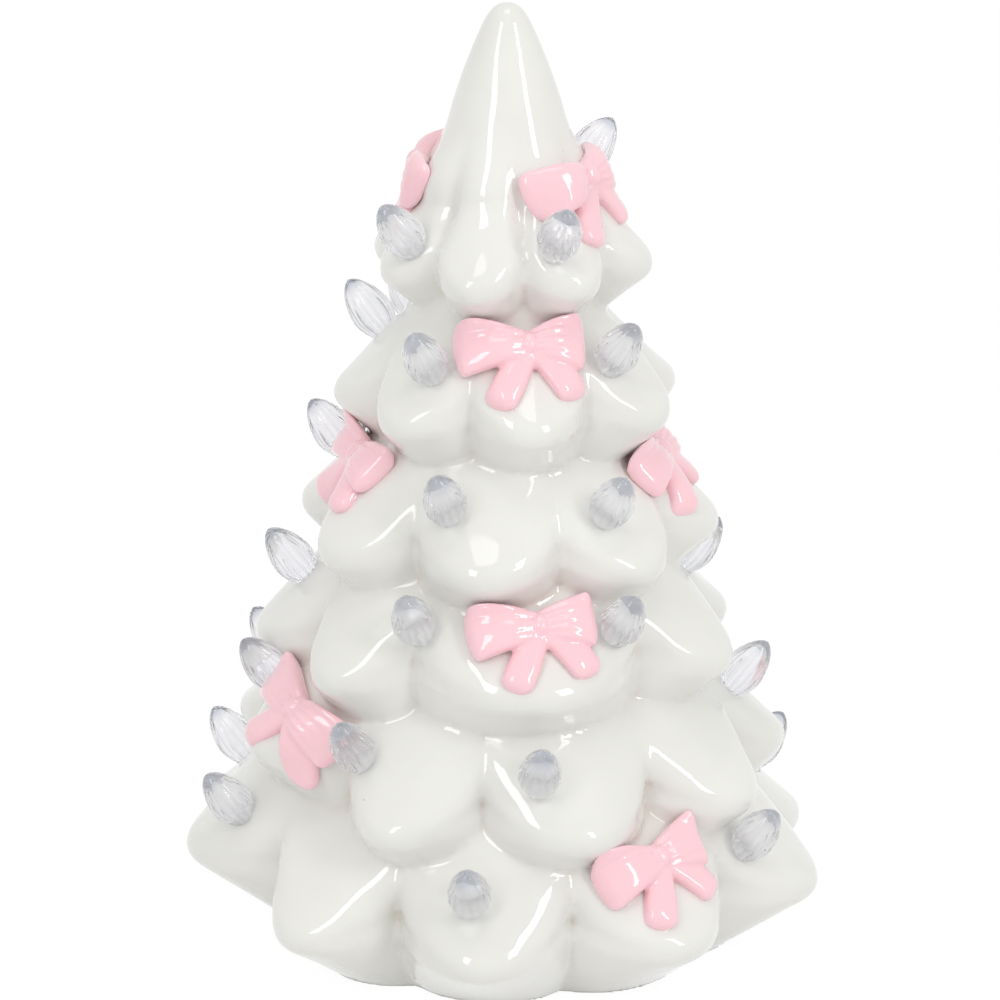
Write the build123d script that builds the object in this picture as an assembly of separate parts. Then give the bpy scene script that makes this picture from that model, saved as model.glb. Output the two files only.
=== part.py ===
from build123d import *
import math
import os
from dataclasses import dataclass

os.makedirs("parts", exist_ok=True)

# A slip-cast ceramic tree with pink clay bows, clear peg bulbs and a battery light in its foot.
# The origin is the centre of the foot, +Z is up and the front faces -Y.
# Azimuths are degrees from the front towards the right-hand side, +X.

# Tree
tree_height = 230.0
low_reach = 80.0
top_reach = 34.5
low_half_height = 26.0
top_half_height = 22.0
nose_radius = 6.5
flank_angle = 42.0
valley_share = 0.79
wall = 4.5

# Core and spire
core_foot_radius = 56.0
spire_foot_radius = 16.5
spire_foot_share = 0.826
spire_tip_radius = 5.0
spire_solid_tip = 24.0
spire_hollow_tip_radius = 2.0
finger_low_radius = 11.0
finger_high_radius = 5.5
finger_low_share = 0.774
finger_high_share = 0.917
finger_top_radius = 9.4
finger_slope = 21.5

# Foot
foot_floor = 6.5
foot_opening_radius = 40.0
foot_ledge = 3.5
foot_recess = 0.6
overrun = 5.0
search_step = 0.5

# Bulbs
bulb_length = 15.3
bulb_radius = 5.4
bulb_base_radius = 3.4
bulb_tip_radius = 0.6
bulb_shoulder_radius = 3.6
bulb_widest_share = 0.32
bulb_shoulder_share = 0.74
bulb_groove_share = 0.88
bulb_ribs = 12
bulb_lean = 52.0
bulb_sink = 0.5
bulb_bore_radius = 1.4
bulb_bore_depth = 6.0
peg_radius = 2.25
peg_length = 9.0
peg_clearance = 0.15
seat_clearance = 0.3
bulb_tiers = (0, 0, 1, 1, 2, 2, 3, 4, 5, 5)
bulb_rise_shares = (0.36, 0.43, 0.40, 0.53, 0.36, 0.50, 0.43, 0.42, 0.30, 0.66)
bulb_azimuths = (
    (-67, 58),
    (-7, 112, 144, -172, -108),
    (-75, -36, 7, 172, -150, -110),
    (87,),
    (-25, 31, 148, -140),
    (-84, 91),
    (-103, -19, 33, 130, -142),
    (-105, -31, 45, 145, -138),
    (-53, 23, -167),
    (114,),
)

# Bows
loop_length = 16.0
loop_height = 12.0
loop_thickness = 6.5
loop_sweep = 20.0
loop_lift = 12.0
loop_station_shares = (0.0, 0.45, 0.8, 0.96, 1.0)
loop_height_shares = (0.45, 0.8, 1.0, 0.8, 0.45)
loop_thickness_shares = (0.7, 1.0, 0.9, 0.65, 0.3)
tail_length = 16.0
tail_width = 7.4
tail_thickness = 5.0
tail_sweep = 14.0
tail_splays = (-14.0, 32.0)
tail_station_shares = (0.0, 0.45, 0.82, 0.96, 1.0)
tail_width_shares = (0.6, 0.85, 1.0, 0.8, 0.4)
tail_thickness_shares = (0.9, 1.0, 0.9, 0.65, 0.3)
knot_radius = 3.6
knot_height_share = 1.15
knot_lift = 2.2
bow_lift = 1.0
bow_tiers = (5, 5, 4, 3, 3, 2, 1, 0, 4, 2, 1, 0)
bow_azimuths = (-105, 60, 7, -69, 75, 7, -57, 31, -173, -173, 128, -145)
bow_rise_shares = (0.60, 0.60, 0.50, 0.52, 0.48, 0.40, 0.30, 0.48, 0.50, 0.40, 0.45, 0.48)
bow_leans = (22, 22, 40, 36, 36, 38, 36, 42, 40, 38, 40, 42)
bow_rolls = (-8, -12, 3, -18, 12, 8, -20, 16, -6, 10, -14, 8)

# Light base, a moulded plate with a battery tray
plate_thickness = 3.0
plate_clearance = 0.3
tray_wall = 1.8
tray_offset = -6.0
door_thickness = 2.4
door_ledge = 1.2
door_clearance = 0.3
door_gap = 0.15
hinge_pin_radius = 0.7
hinge_pin_length = 2.0
hinge_clearance = 0.1
latch_width = 3.0
latch_thickness = 0.7
latch_height = 3.5
latch_gap = 0.35
door_rib_width = 1.0
door_rib_length = 8.0
door_rib_depth = 0.4
door_ribs = 4

# Cells and contacts
cell_count = 3
cell_diameter = 10.5
cell_length = 44.5
cell_gap = 0.6
cell_lift = 0.4
cell_nub_radius = 1.9
cell_nub_length = 0.8
contact_space = 3.0
contact_thickness = 0.4
contact_width = 7.0
contact_height = 8.0
contact_boss_radius = 2.0
spring_bow_share = 0.45
tab_width = 3.0
tab_rise = 2.0
tab_clearance = 0.15

# Switch
switch_place = 22.0
switch_length = 14.0
switch_width = 7.0
switch_height = 5.5
switch_wall = 1.0
slider_travel = 3.0
slider_length = 6.5
slider_thickness = 1.5
slider_clearance = 0.1
stem_length = 3.0
stem_width = 2.4
stem_clearance = 0.2
dish_length = 12.0
dish_width = 8.0
dish_depth = 1.2
stem_recess = 0.3
terminal_length = 1.6
terminal_thickness = 0.5
terminal_height = 2.5
terminal_spacing = 8.0

# Lamp board, lamp, screws and leads
board_length = 38.0
board_width = 14.0
board_thickness = 1.2
boss_radius = 2.6
boss_height = 3.0
boss_spacing = 30.0
screw_radius = 1.0
screw_clearance = 0.05
screw_head_radius = 1.9
screw_head_height = 1.4
screw_depth = 4.0
screw_slot_width = 0.5
screw_slot_depth = 0.6
lamp_radius = 2.5
lamp_flange_radius = 2.9
lamp_flange_height = 1.0
lamp_body_height = 6.0
pad_spacing = 18.0
pad_inset = 3.5
lead_radius = 0.7
lead_rise = 5.0
lead_bend_share = 0.45


@dataclass
class Tier:
    """One ring of boughs; azimuths are of the crease on each bough's left."""
    height_share: float
    tilt: float
    root_share: float
    creases: tuple
    rise_shares: tuple
    reach_shares: tuple


TIERS = (
    Tier(0.074, 6, 0.42, (-57, -24, 14, 52, 90, 126, 162, 198, 232, 266),
         (0, 0, 0, 0, 0, 0, 0, 0, 0.1, 0.25), (1, 1, 1, 1, 0.97, 1, 1, 1, 1, 1.01)),
    Tier(0.191, 8, 0.42, (-43, -6, 37, 76, 116, 156, 196, 236, 276),
         (0, 0, 0, 0, 0, 0, 0, 0.15, 0.33), (0.99, 0.99, 0.99, 0.98, 0.98, 1, 1, 0.97, 0.97)),
    Tier(0.330, 8, 0.42, (-62, -27, 41, 82, 122, 164, 208, 253),
         (0, 0, 0, 0, 0, 0, 0, 0), (1.02, 0.98, 0.98, 0.9, 0.97, 1, 1, 1)),
    Tier(0.449, 8, 0.42, (-75, -31, 17.5, 62, 107, 152, 196, 240),
         (0, 0, -0.05, 0, 0, 0, 0, 0.08), (1.02, 1, 1, 0.98, 0.98, 1, 0.98, 0.96)),
    Tier(0.590, 9, 0.42, (-61, -15, 33, 80, 125, 168, 210, 252),
         (0, 0, 0, 0, 0, 0, 0, 0), (1, 1, 1.02, 0.96, 0.97, 1, 0.97, 0.96)),
    Tier(0.730, 13, 0.25, (-37, 14, 58, 108, 165, 222, 272),
         (0, 0, 0, 0, 0, 0, 0), (1, 1, 1.02, 1, 1, 1, 1)),
)
FLANK_COS = math.cos(math.radians(flank_angle))
FLANK_SIN = math.sin(math.radians(flank_angle))
tier_pitch = tree_height * (TIERS[-1].height_share - TIERS[0].height_share) / (len(TIERS) - 1)


def outward(azimuth, radius, height):
    """Point at this azimuth, radius and height."""
    turn = math.radians(azimuth)
    return Vector(radius * math.sin(turn), -radius * math.cos(turn), height)


@dataclass
class Bough:
    """Blunt ogive on a radial axis: a round nose that runs into a circular flank."""
    reach: float
    height: float
    azimuth: float
    tilt: float
    half_height: float
    nose: float
    root: float
    stretch: float = 1.0

    @property
    def flank(self):
        """Radius of the flank's arc, tangent to the nose."""
        return (self.half_height - self.nose * FLANK_COS) / (1 - FLANK_COS)

    @property
    def length(self):
        """Distance from the nose to where the flank would run level."""
        return (self.flank - self.nose) * FLANK_SIN + self.nose

    @property
    def start(self):
        """Place of the root plane along the axis."""
        return max(0, self.length - (self.reach - self.root))

    def half_at(self, along):
        """Half height of the bough at this place along its axis."""
        if along > self.flank * FLANK_SIN:
            return math.sqrt(max(self.nose ** 2 - (along - self.length + self.nose) ** 2, 0))
        return self.half_height - self.flank + math.sqrt(self.flank ** 2 - along ** 2)

    def holds(self, point):
        """Whether the point lies inside the bough."""
        turn = math.radians(self.azimuth)
        dip = math.radians(self.tilt)
        ahead = point.X * math.sin(turn) - point.Y * math.cos(turn) - self.reach
        side = point.X * math.cos(turn) + point.Y * math.sin(turn)
        above = point.Z - self.height
        along = self.length + ahead * math.cos(dip) - above * math.sin(dip)
        if not self.start <= along <= self.length:
            return False
        rise = ahead * math.sin(dip) + above * math.cos(dip)
        return math.hypot(side / self.stretch, rise) <= self.half_at(along)

    def solid(self):
        """The bough, turned about its axis and widened sideways."""
        nose_centre = self.length - self.nose
        nose_turn = math.radians(90 - flank_angle) / 2
        join = (self.flank * FLANK_SIN, self.nose * FLANK_COS)
        middle = (self.start + join[0]) / 2
        nose_middle = (nose_centre + self.nose * math.cos(nose_turn), self.nose * math.sin(nose_turn))
        root_edge = (self.start, self.half_at(self.start))
        outline = Line((self.start, 0), (self.length, 0))
        outline += ThreePointArc((self.length, 0), nose_middle, join)
        outline += ThreePointArc(join, (middle, self.half_at(middle)), root_edge)
        outline += Line(root_edge, (self.start, 0))
        round_bough = revolve(make_face(outline), Axis.X)
        wide_bough = scale(round_bough, by=(1, self.stretch, 1))
        nose_place = Location((self.reach, 0, self.height), (0, 1, 0), self.tilt)
        turn = Location((0, 0, 0), (0, 0, 1), self.azimuth - 90)
        return (turn * nose_place * Location((-self.length, 0, 0)) * wide_bough).solid()

    def hollow(self):
        """The bough's inside, one wall thickness in from its surface."""
        inner_half = self.half_height - wall
        inner_stretch = (self.stretch * self.half_height - wall) / inner_half
        inner_nose = self.nose * inner_half / self.half_height
        return Bough(self.reach - wall / FLANK_SIN, self.height, self.azimuth, self.tilt, inner_half,
                     inner_nose, self.root, inner_stretch)


def tier_boughs(index):
    """The boughs of one tier, each as wide as its two creases allow."""
    tier = TIERS[index]
    part = index / (len(TIERS) - 1)
    ring_reach = low_reach + (top_reach - low_reach) * part
    half_height = low_half_height + (top_half_height - low_half_height) * part
    ends = tier.creases[1:] + (tier.creases[0] + 360,)
    row = []
    for left, right, rise, reach in zip(tier.creases, ends, tier.rise_shares, tier.reach_shares):
        bough = Bough(ring_reach * reach, tree_height * tier.height_share + tier_pitch * rise,
                      (left + right) / 2, tier.tilt, half_height, nose_radius, ring_reach * tier.root_share)
        half_turn = math.radians(right - left) / 2
        valley = valley_share * ring_reach
        along = bough.length - bough.reach + valley * math.cos(half_turn)
        bough.stretch = valley * math.sin(half_turn) / bough.half_at(along)
        row.append(bough)
    return row


BOUGHS = [tier_boughs(index) for index in range(len(TIERS))]
ALL_BOUGHS = [bough for row in BOUGHS for bough in row]


@dataclass
class Finger:
    """Tapered rib of the spire that leads down to a bough of the top tier."""
    low: Vector
    high: Vector

    def holds(self, point):
        """Whether the point lies inside the finger."""
        axis = self.high - self.low
        share = (point - self.low).dot(axis) / axis.dot(axis)
        share = min(max(share, 0), 1)
        radius = finger_low_radius + (finger_high_radius - finger_low_radius) * share
        return (point - self.low - axis * share).length <= radius

    def solid(self):
        """Two balls joined by the cone that touches both."""
        axis = self.high - self.low
        lean = math.asin((finger_low_radius - finger_high_radius) / axis.length)
        low_turn = (lean - math.pi / 2) / 2
        high_turn = (lean + math.pi / 2) / 2

        def rim(radius, turn, centre):
            return (radius * math.cos(turn), centre + radius * math.sin(turn))

        low_rim = rim(finger_low_radius, lean, 0)
        high_rim = rim(finger_high_radius, lean, axis.length)
        foot = (0, -finger_low_radius)
        top = (0, axis.length + finger_high_radius)
        outline = Line(top, foot)
        outline += ThreePointArc(foot, rim(finger_low_radius, low_turn, 0), low_rim)
        outline += Line(low_rim, high_rim)
        outline += ThreePointArc(high_rim, rim(finger_high_radius, high_turn, axis.length), top)
        upright = revolve(Plane.XZ * make_face(outline), Axis.Z)
        return (Plane(origin=self.low, z_dir=axis).location * upright).solid()


def make_fingers():
    """One finger over each bough of the top tier."""
    slope = math.radians(finger_slope)
    fingers = []
    for bough in BOUGHS[-1]:
        centres = []
        for share, radius in ((finger_low_share, finger_low_radius), (finger_high_share, finger_high_radius)):
            height = tree_height * share
            skin = finger_top_radius + (tree_height * finger_high_share - height) * math.tan(slope)
            centres.append(outward(bough.azimuth, skin - radius * math.cos(slope),
                                   height - radius * math.sin(slope)))
        fingers.append(Finger(*centres))
    return fingers


FINGERS = make_fingers()
spire_foot = tree_height * spire_foot_share


def core_radius(height):
    """Radius of the plain core and spire at this height."""
    if height < spire_foot:
        return core_foot_radius + (spire_foot_radius - core_foot_radius) * height / spire_foot
    spire_length = tree_height - spire_tip_radius - spire_foot
    return spire_foot_radius + (spire_tip_radius - spire_foot_radius) * (height - spire_foot) / spire_length


def surface_radius(azimuth, height):
    """Radius of the outermost ceramic at this azimuth and height."""
    radius = low_reach + wall
    while radius > core_radius(height):
        point = outward(azimuth, radius, height)
        if any(piece.holds(point) for piece in ALL_BOUGHS + FINGERS):
            return radius
        radius -= search_step
    return core_radius(height)


def bough_at(tier, azimuth):
    """The bough of this tier whose creases lie either side of the azimuth."""
    def apart(bough):
        return abs((bough.azimuth - azimuth + 180) % 360 - 180)
    return min(BOUGHS[tier], key=apart)


def seat_on_bough(tier, azimuth, rise_share):
    """Point on the glaze, this share of the pitch above the bough's nose."""
    height = bough_at(tier, azimuth).height + tier_pitch * rise_share
    return outward(azimuth, surface_radius(azimuth, height), height)


def lathe(points):
    """Solid turned about the tree's axis from a closed outline of radius and height."""
    return revolve(Plane.XZ * make_face(Polyline(*points, close=True)), Axis.Z).solid()


def core_solid():
    """Plain core with the spire and its round tip."""
    tip_centre = tree_height - spire_tip_radius
    lean = math.atan2(spire_foot_radius - spire_tip_radius, tip_centre - spire_foot)
    rim = (spire_tip_radius * math.cos(lean), tip_centre + spire_tip_radius * math.sin(lean))
    half_turn = (lean + math.pi / 2) / 2
    cap = (spire_tip_radius * math.cos(half_turn), tip_centre + spire_tip_radius * math.sin(half_turn))
    outline = Polyline((0, tree_height), (0, 0), (core_foot_radius, 0), (spire_foot_radius, spire_foot), rim)
    outline += ThreePointArc(rim, cap, (0, tree_height))
    return revolve(Plane.XZ * make_face(outline), Axis.Z).solid()


def core_hollow():
    """Inside of the core, from the foot's floor to the solid tip of the spire."""
    hollow_top = tree_height - spire_solid_tip
    return lathe(((0, 0), (core_foot_radius - wall, 0), (spire_foot_radius - wall, spire_foot),
                  (spire_hollow_tip_radius, hollow_top), (0, hollow_top)))


def slab(low, high):
    """Level slab wider than the tree, between two heights."""
    side = (low_reach + overrun) * 3
    return Pos(0, 0, low) * Box(side, side, high - low, align=(Align.CENTER, Align.CENTER, Align.MIN))


def disc(radius, low, high):
    """Upright round solid between two heights."""
    return Pos(0, 0, low) * Cylinder(radius, high - low, align=(Align.CENTER, Align.CENTER, Align.MIN))


def bulb_places():
    """Seat of each bulb's base, its Z axis along the bulb."""
    places = []
    for tier, rise_share, azimuths in zip(bulb_tiers, bulb_rise_shares, bulb_azimuths):
        for azimuth in azimuths:
            lean = math.radians(bulb_lean)
            axis = outward(azimuth, math.cos(lean), math.sin(lean))
            seat = seat_on_bough(tier, azimuth, rise_share) - axis * bulb_sink
            places.append(Plane(origin=seat, z_dir=axis).location)
    return places


BULB_PLACES = bulb_places()
plate_bottom = foot_recess
plate_top = plate_bottom + plate_thickness


def bulb_room():
    """Space that a seated bulb needs: its flat seat, its flare and a clear way above."""
    seat_radius = bulb_base_radius + seat_clearance
    full_radius = bulb_radius + seat_clearance
    flare_top = bulb_length * bulb_widest_share
    return lathe(((0, 0), (seat_radius, 0), (full_radius, flare_top), (full_radius, bulb_length),
                  (0, bulb_length)))


def make_tree_body():
    """Hollow casting with peg holes, bulb seats and a rebated opening in its foot."""
    outside = core_solid().fuse(*[piece.solid() for piece in ALL_BOUGHS + FINGERS])
    inside = core_hollow().fuse(*[bough.hollow().solid() for bough in ALL_BOUGHS])
    below = -low_reach
    body = outside - slab(below, 0)
    body = body - (inside - slab(below, foot_floor))
    cuts = [disc(foot_opening_radius, -overrun, foot_floor + overrun),
            disc(foot_opening_radius + foot_ledge, -overrun, plate_top)]
    for place in BULB_PLACES:
        hole = Cylinder(peg_radius + peg_clearance, peg_length + overrun,
                        align=(Align.CENTER, Align.CENTER, Align.MAX))
        cuts += [place * hole, place * bulb_room()]
    return body.cut(*[cut.solid() for cut in cuts])


def star_ring(radius, height):
    """Ribbed outline of the bulb at one height."""
    points = []
    for step in range(2 * bulb_ribs):
        turn = math.pi * step / bulb_ribs
        reach = radius * (bulb_groove_share if step % 2 else 1)
        points.append((reach * math.cos(turn), reach * math.sin(turn)))
    return Pos(0, 0, height) * make_face(Polyline(*points, close=True))


def make_bulb():
    """Ribbed clear bulb with a hollow peg, its seat at the origin."""
    rings = [star_ring(bulb_base_radius, 0), star_ring(bulb_radius, bulb_length * bulb_widest_share),
             star_ring(bulb_shoulder_radius, bulb_length * bulb_shoulder_share),
             star_ring(bulb_tip_radius, bulb_length)]
    bulb = loft(rings, ruled=True)
    bulb += Cylinder(peg_radius, peg_length, align=(Align.CENTER, Align.CENTER, Align.MAX))
    bore = Pos(0, 0, -peg_length) * Cylinder(bulb_bore_radius, peg_length + bulb_bore_depth,
                                             align=(Align.CENTER, Align.CENTER, Align.MIN))
    return (bulb - bore).solid()


def petal(plane, length, breadth, thickness, stations, breadth_shares, thickness_shares):
    """Soft strip of clay lofted through ovals along the plane's axis."""
    ovals = []
    for station, broad, thick in zip(stations, breadth_shares, thickness_shares):
        oval = Ellipse(breadth * broad / 2, thickness * thick / 2)
        ovals.append(plane.offset(length * station) * oval)
    return loft(ovals)


def make_raw_bow():
    """Bow with two loops, a knot and two tails; its Z axis points away from the tree."""
    loop = petal(Plane.YZ, loop_length, loop_height, loop_thickness, loop_station_shares,
                 loop_height_shares, loop_thickness_shares)
    right_loop = Rot(0, loop_sweep, loop_lift) * loop
    left_loop = mirror(right_loop, about=Plane.YZ)
    tail = petal(Plane.XZ, tail_length, tail_width, tail_thickness, tail_station_shares,
                 tail_width_shares, tail_thickness_shares)
    tails = [Rot(0, 0, splay) * Rot(tail_sweep, 0, 0) * tail for splay in tail_splays]
    knot = scale(Sphere(knot_radius), by=(1, knot_height_share, 1))
    strips = [Pos(0, 0, knot_lift) * strip for strip in (right_loop, left_loop, *tails)]
    return (Pos(0, 0, knot_lift) * knot).solid().fuse(*[strip.solid() for strip in strips])


def make_bow(raw_bow, tier, azimuth, rise_share, lean, roll):
    """Bow pressed on to the tree: its back takes the form of the glaze behind it."""
    seat = seat_on_bough(tier, azimuth, rise_share)
    facing = outward(azimuth, math.cos(math.radians(lean)), math.sin(math.radians(lean)))
    across = outward(azimuth + 90, 1, 0)
    place = Plane(origin=seat, x_dir=across, z_dir=facing).location
    bow = place * Location((0, 0, bow_lift), (0, 0, 1), roll) * raw_bow
    reach = loop_length + low_half_height
    near = [piece for piece in ALL_BOUGHS
            if (outward(piece.azimuth, piece.reach, piece.height) - seat).length < reach]
    behind = [piece.solid() for piece in near]
    if tier == len(TIERS) - 1:
        behind += [finger.solid() for finger in FINGERS]
    cut = bow.cut(core_solid(), *behind)
    return cut.solids().sort_by(SortBy.VOLUME)[-1]


# Light base and battery tray
cell_pitch = cell_diameter + cell_gap
bay_length = cell_length + 2 * contact_space
bay_width = cell_count * cell_pitch + cell_gap
door_top = plate_bottom + door_thickness
bay_top = door_top + cell_lift + cell_diameter + cell_gap
tray_top = bay_top + tray_wall
board_bottom = tray_top + boss_height
board_top = board_bottom + board_thickness
cell_height = door_top + cell_lift + cell_diameter / 2
cell_places = [tray_offset + (index - (cell_count - 1) / 2) * cell_pitch for index in range(cell_count)]
cell_turns = [1 if index % 2 == 0 else -1 for index in range(cell_count)]
opening_length = bay_length + 2 * door_ledge
opening_width = bay_width + 2 * door_ledge
hinge_x = door_clearance + door_thickness / 2 - opening_length / 2
hinge_z = plate_bottom + door_thickness / 2
boss_places = [-boss_spacing / 2, boss_spacing / 2]
pad_places = [-pad_spacing / 2, pad_spacing / 2]


def block(length, width, low, high, x=0, y=0):
    """Upright block between two heights, centred on a point."""
    return Pos(x, y, low) * Box(length, width, high - low, align=(Align.CENTER, Align.CENTER, Align.MIN))


def rod(radius, low, high, x=0, y=0):
    """Upright round bar between two heights, centred on a point."""
    return Pos(x, y, 0) * disc(radius, low, high)


def make_light_base():
    """Round plate with the battery tray, door opening, hinge sockets, switch slot and board bosses."""
    base = disc(foot_opening_radius + foot_ledge - plate_clearance, plate_bottom, plate_top)
    base += block(bay_length + 2 * tray_wall, bay_width + 2 * tray_wall, plate_bottom, tray_top, 0, tray_offset)
    base -= block(bay_length, bay_width, plate_bottom - overrun, bay_top, 0, tray_offset)
    base -= block(opening_length, opening_width, plate_bottom - overrun, door_top + door_gap, 0, tray_offset)
    for x in boss_places:
        base += rod(boss_radius, tray_top, board_bottom, x, tray_offset)
        base -= rod(screw_radius + screw_clearance, board_bottom - screw_depth, board_bottom, x, tray_offset)
    socket_length = opening_width + 2 * (hinge_pin_length + door_gap)
    socket = Cylinder(hinge_pin_radius + hinge_clearance, socket_length, rotation=(90, 0, 0))
    base -= Pos(hinge_x, tray_offset, hinge_z) * socket
    base -= block(dish_length, dish_width, plate_bottom - overrun, plate_bottom + dish_depth, 0, switch_place)
    slot_length = stem_length + slider_travel + 2 * stem_clearance
    base -= block(slot_length, stem_width + 2 * stem_clearance, plate_bottom, plate_top + overrun, 0, switch_place)
    for x, y in (POSITIVE_TAB, NEGATIVE_TAB):
        base -= block(contact_thickness + 2 * tab_clearance, tab_width + 2 * tab_clearance,
                      bay_top - tab_clearance, tray_top + overrun, x, y)
    return base.solid()


def make_battery_door():
    """Door with a round hinge edge, two stub pins, two latch tongues and grip ribs."""
    end_x = opening_length / 2 - door_clearance
    width = opening_width - 2 * door_clearance
    leaf_top = plate_bottom + door_thickness
    leaf = block(end_x - hinge_x, width, plate_bottom, leaf_top, (end_x + hinge_x) / 2, tray_offset)
    edge = Cylinder(door_thickness / 2, width, rotation=(90, 0, 0))
    pins = Cylinder(hinge_pin_radius, width + 2 * hinge_pin_length, rotation=(90, 0, 0))
    leaf += Pos(hinge_x, tray_offset, hinge_z) * edge
    leaf += Pos(hinge_x, tray_offset, hinge_z) * pins
    tongue_x = bay_length / 2 - latch_gap - latch_thickness / 2
    for side in (-1, 1):
        y = tray_offset + side * cell_pitch / 2
        leaf += block(latch_thickness, latch_width, leaf_top, leaf_top + latch_height, tongue_x, y)
    for index in range(door_ribs):
        x = end_x - door_rib_length / 2 - index * 2 * door_rib_width
        leaf -= block(door_rib_width, door_rib_length * 2, plate_bottom - overrun,
                      plate_bottom + door_rib_depth, x, tray_offset)
    return leaf.solid()


def make_cells():
    """Three cells side by side, turned end for end."""
    cells = []
    for y, turn in zip(cell_places, cell_turns):
        body = Cylinder(cell_diameter / 2, cell_length - cell_nub_length, rotation=(0, 90, 0))
        nub = Cylinder(cell_nub_radius, cell_length, rotation=(0, 90, 0))
        half = Pos(cell_length / 4, 0, 0) * Box(cell_length / 2, cell_diameter, cell_diameter)
        cell = Pos(-cell_nub_length / 2, 0, 0) * body + nub & half
        cell += Pos(-cell_nub_length / 2, 0, 0) * body
        turned = Rot(0, 0, 0 if turn > 0 else 180) * cell
        cells.append((Pos(0, y, cell_height) * turned).solid())
    return cells


tab_x = (bay_length - contact_thickness) / 2
POSITIVE_TAB = (cell_turns[0] * tab_x, cell_places[0])
NEGATIVE_TAB = (-cell_turns[-1] * tab_x, cell_places[-1])


def contact_plate(side, y, tabbed):
    """Plate against the end wall of the tray, with a solder tab through the roof on one of them."""
    plate = block(contact_thickness, contact_width, cell_height - contact_height / 2,
                  cell_height + contact_height / 2, side * tab_x, y)
    if tabbed:
        plate += block(contact_thickness, tab_width, cell_height, tray_top + tab_rise, side * tab_x, y)
    return plate


def make_positive_contacts():
    """Plate with a pressed boss for each cell's nub."""
    contacts = []
    boss_length = contact_space - contact_thickness
    for index, (y, turn) in enumerate(zip(cell_places, cell_turns)):
        boss = Cylinder(contact_boss_radius, boss_length, rotation=(0, 90, 0))
        boss_x = turn * (cell_length + boss_length) / 2
        plate = contact_plate(turn, y, index == 0)
        contacts.append((plate + Pos(boss_x, y, cell_height) * boss).solid())
    return contacts


def make_negative_contacts():
    """Plate with a bowed leaf spring for each cell's flat end."""
    contacts = []
    for index, (y, turn) in enumerate(zip(cell_places, cell_turns)):
        plate_x = bay_length / 2 - contact_thickness
        crest_x = cell_length / 2
        reach = contact_height / 2
        foot = (plate_x, -reach)
        crest = (crest_x, 0)
        head = (plate_x, reach * spring_bow_share)
        leaf_line = ThreePointArc(foot, crest, head)
        skin = offset(leaf_line, amount=contact_thickness, side=Side.RIGHT, closed=True)
        leaf = extrude(Plane.XZ * make_face(skin), amount=contact_width / 2, both=True)
        leaf = leaf & Pos((crest_x + plate_x) / 2, 0, 0) * Box(plate_x - crest_x, contact_width, contact_height)
        plate = contact_plate(1, 0, index == cell_count - 1)
        spring = plate + Pos(0, 0, cell_height) * leaf
        turned = Rot(0, 0, 180 if turn > 0 else 0) * spring
        contacts.append((Pos(0, y, 0) * turned).solid())
    return contacts


# Switch
slider_bottom = plate_top + slider_clearance
slider_top = slider_bottom + slider_thickness
slider_x = -slider_travel / 2
switch_top = plate_top + switch_height


def make_switch_body():
    """Small box over the slot, hollow under its roof, with two solder terminals."""
    body = block(switch_length, switch_width, plate_top, switch_top, 0, switch_place)
    body -= block(switch_length - 2 * switch_wall, switch_width - 2 * switch_wall, plate_top - overrun,
                  slider_top + slider_clearance, 0, switch_place)
    for side in (-1, 1):
        body += block(terminal_length, terminal_thickness, switch_top, switch_top + terminal_height,
                      side * terminal_spacing / 2, switch_place)
    return body.solid()


def make_switch_slider():
    """Slide inside the switch with a stem through the plate, at its off end."""
    slide_width = switch_width - 2 * switch_wall - 2 * slider_clearance
    slide = block(slider_length, slide_width, slider_bottom, slider_top, slider_x, switch_place)
    slide += block(stem_length, stem_width, plate_bottom + stem_recess, slider_bottom, slider_x, switch_place)
    return slide.solid()


def make_led_board():
    """Small board on the tray's two bosses."""
    board = block(board_length, board_width, board_bottom, board_top, 0, tray_offset)
    for x in boss_places:
        board -= rod(screw_radius + screw_clearance, board_bottom - overrun, board_top + overrun, x, tray_offset)
    return board.solid()


def make_led():
    """Round-topped lamp with a flange."""
    lamp = rod(lamp_flange_radius, board_top, board_top + lamp_flange_height, 0, tray_offset)
    lamp += rod(lamp_radius, board_top, board_top + lamp_body_height, 0, tray_offset)
    lamp += Pos(0, tray_offset, board_top + lamp_body_height) * Sphere(lamp_radius)
    return lamp.solid()


def make_board_screws():
    """Two slotted screws that hold the board."""
    screws = []
    for x in boss_places:
        screw = rod(screw_radius, board_bottom - screw_depth, board_top, x, tray_offset)
        head_top = board_top + screw_head_height
        screw += rod(screw_head_radius, board_top, head_top, x, tray_offset)
        screw -= block(screw_head_radius * 2, screw_slot_width, head_top - screw_slot_depth, head_top + overrun,
                       x, tray_offset)
        screws.append(screw.solid())
    return screws


def make_lead(start, end, crest):
    """Insulated wire that rises from its start, crosses at the crest height and drops to its end."""
    corners = [start, (start[0], start[1], crest), (end[0], end[1], crest), end]
    runs = [(Vector(*second) - Vector(*first)).length for first, second in zip(corners, corners[1:])]
    bend = lead_bend_share * min(runs)
    path = FilletPolyline(*corners, radius=bend)
    wire = sweep(Plane(origin=start, z_dir=(0, 0, 1)) * Circle(lead_radius), path=path)
    return wire.solid()


tab_top = tray_top + tab_rise
pad_y = tray_offset + board_width / 2 - pad_inset


def make_red_lead():
    """From the first cell's positive tab to the board."""
    pad = (pad_places[1], tray_offset - board_width / 2 + pad_inset, board_top)
    return make_lead((*POSITIVE_TAB, tab_top), pad, board_top + lead_rise)


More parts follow.
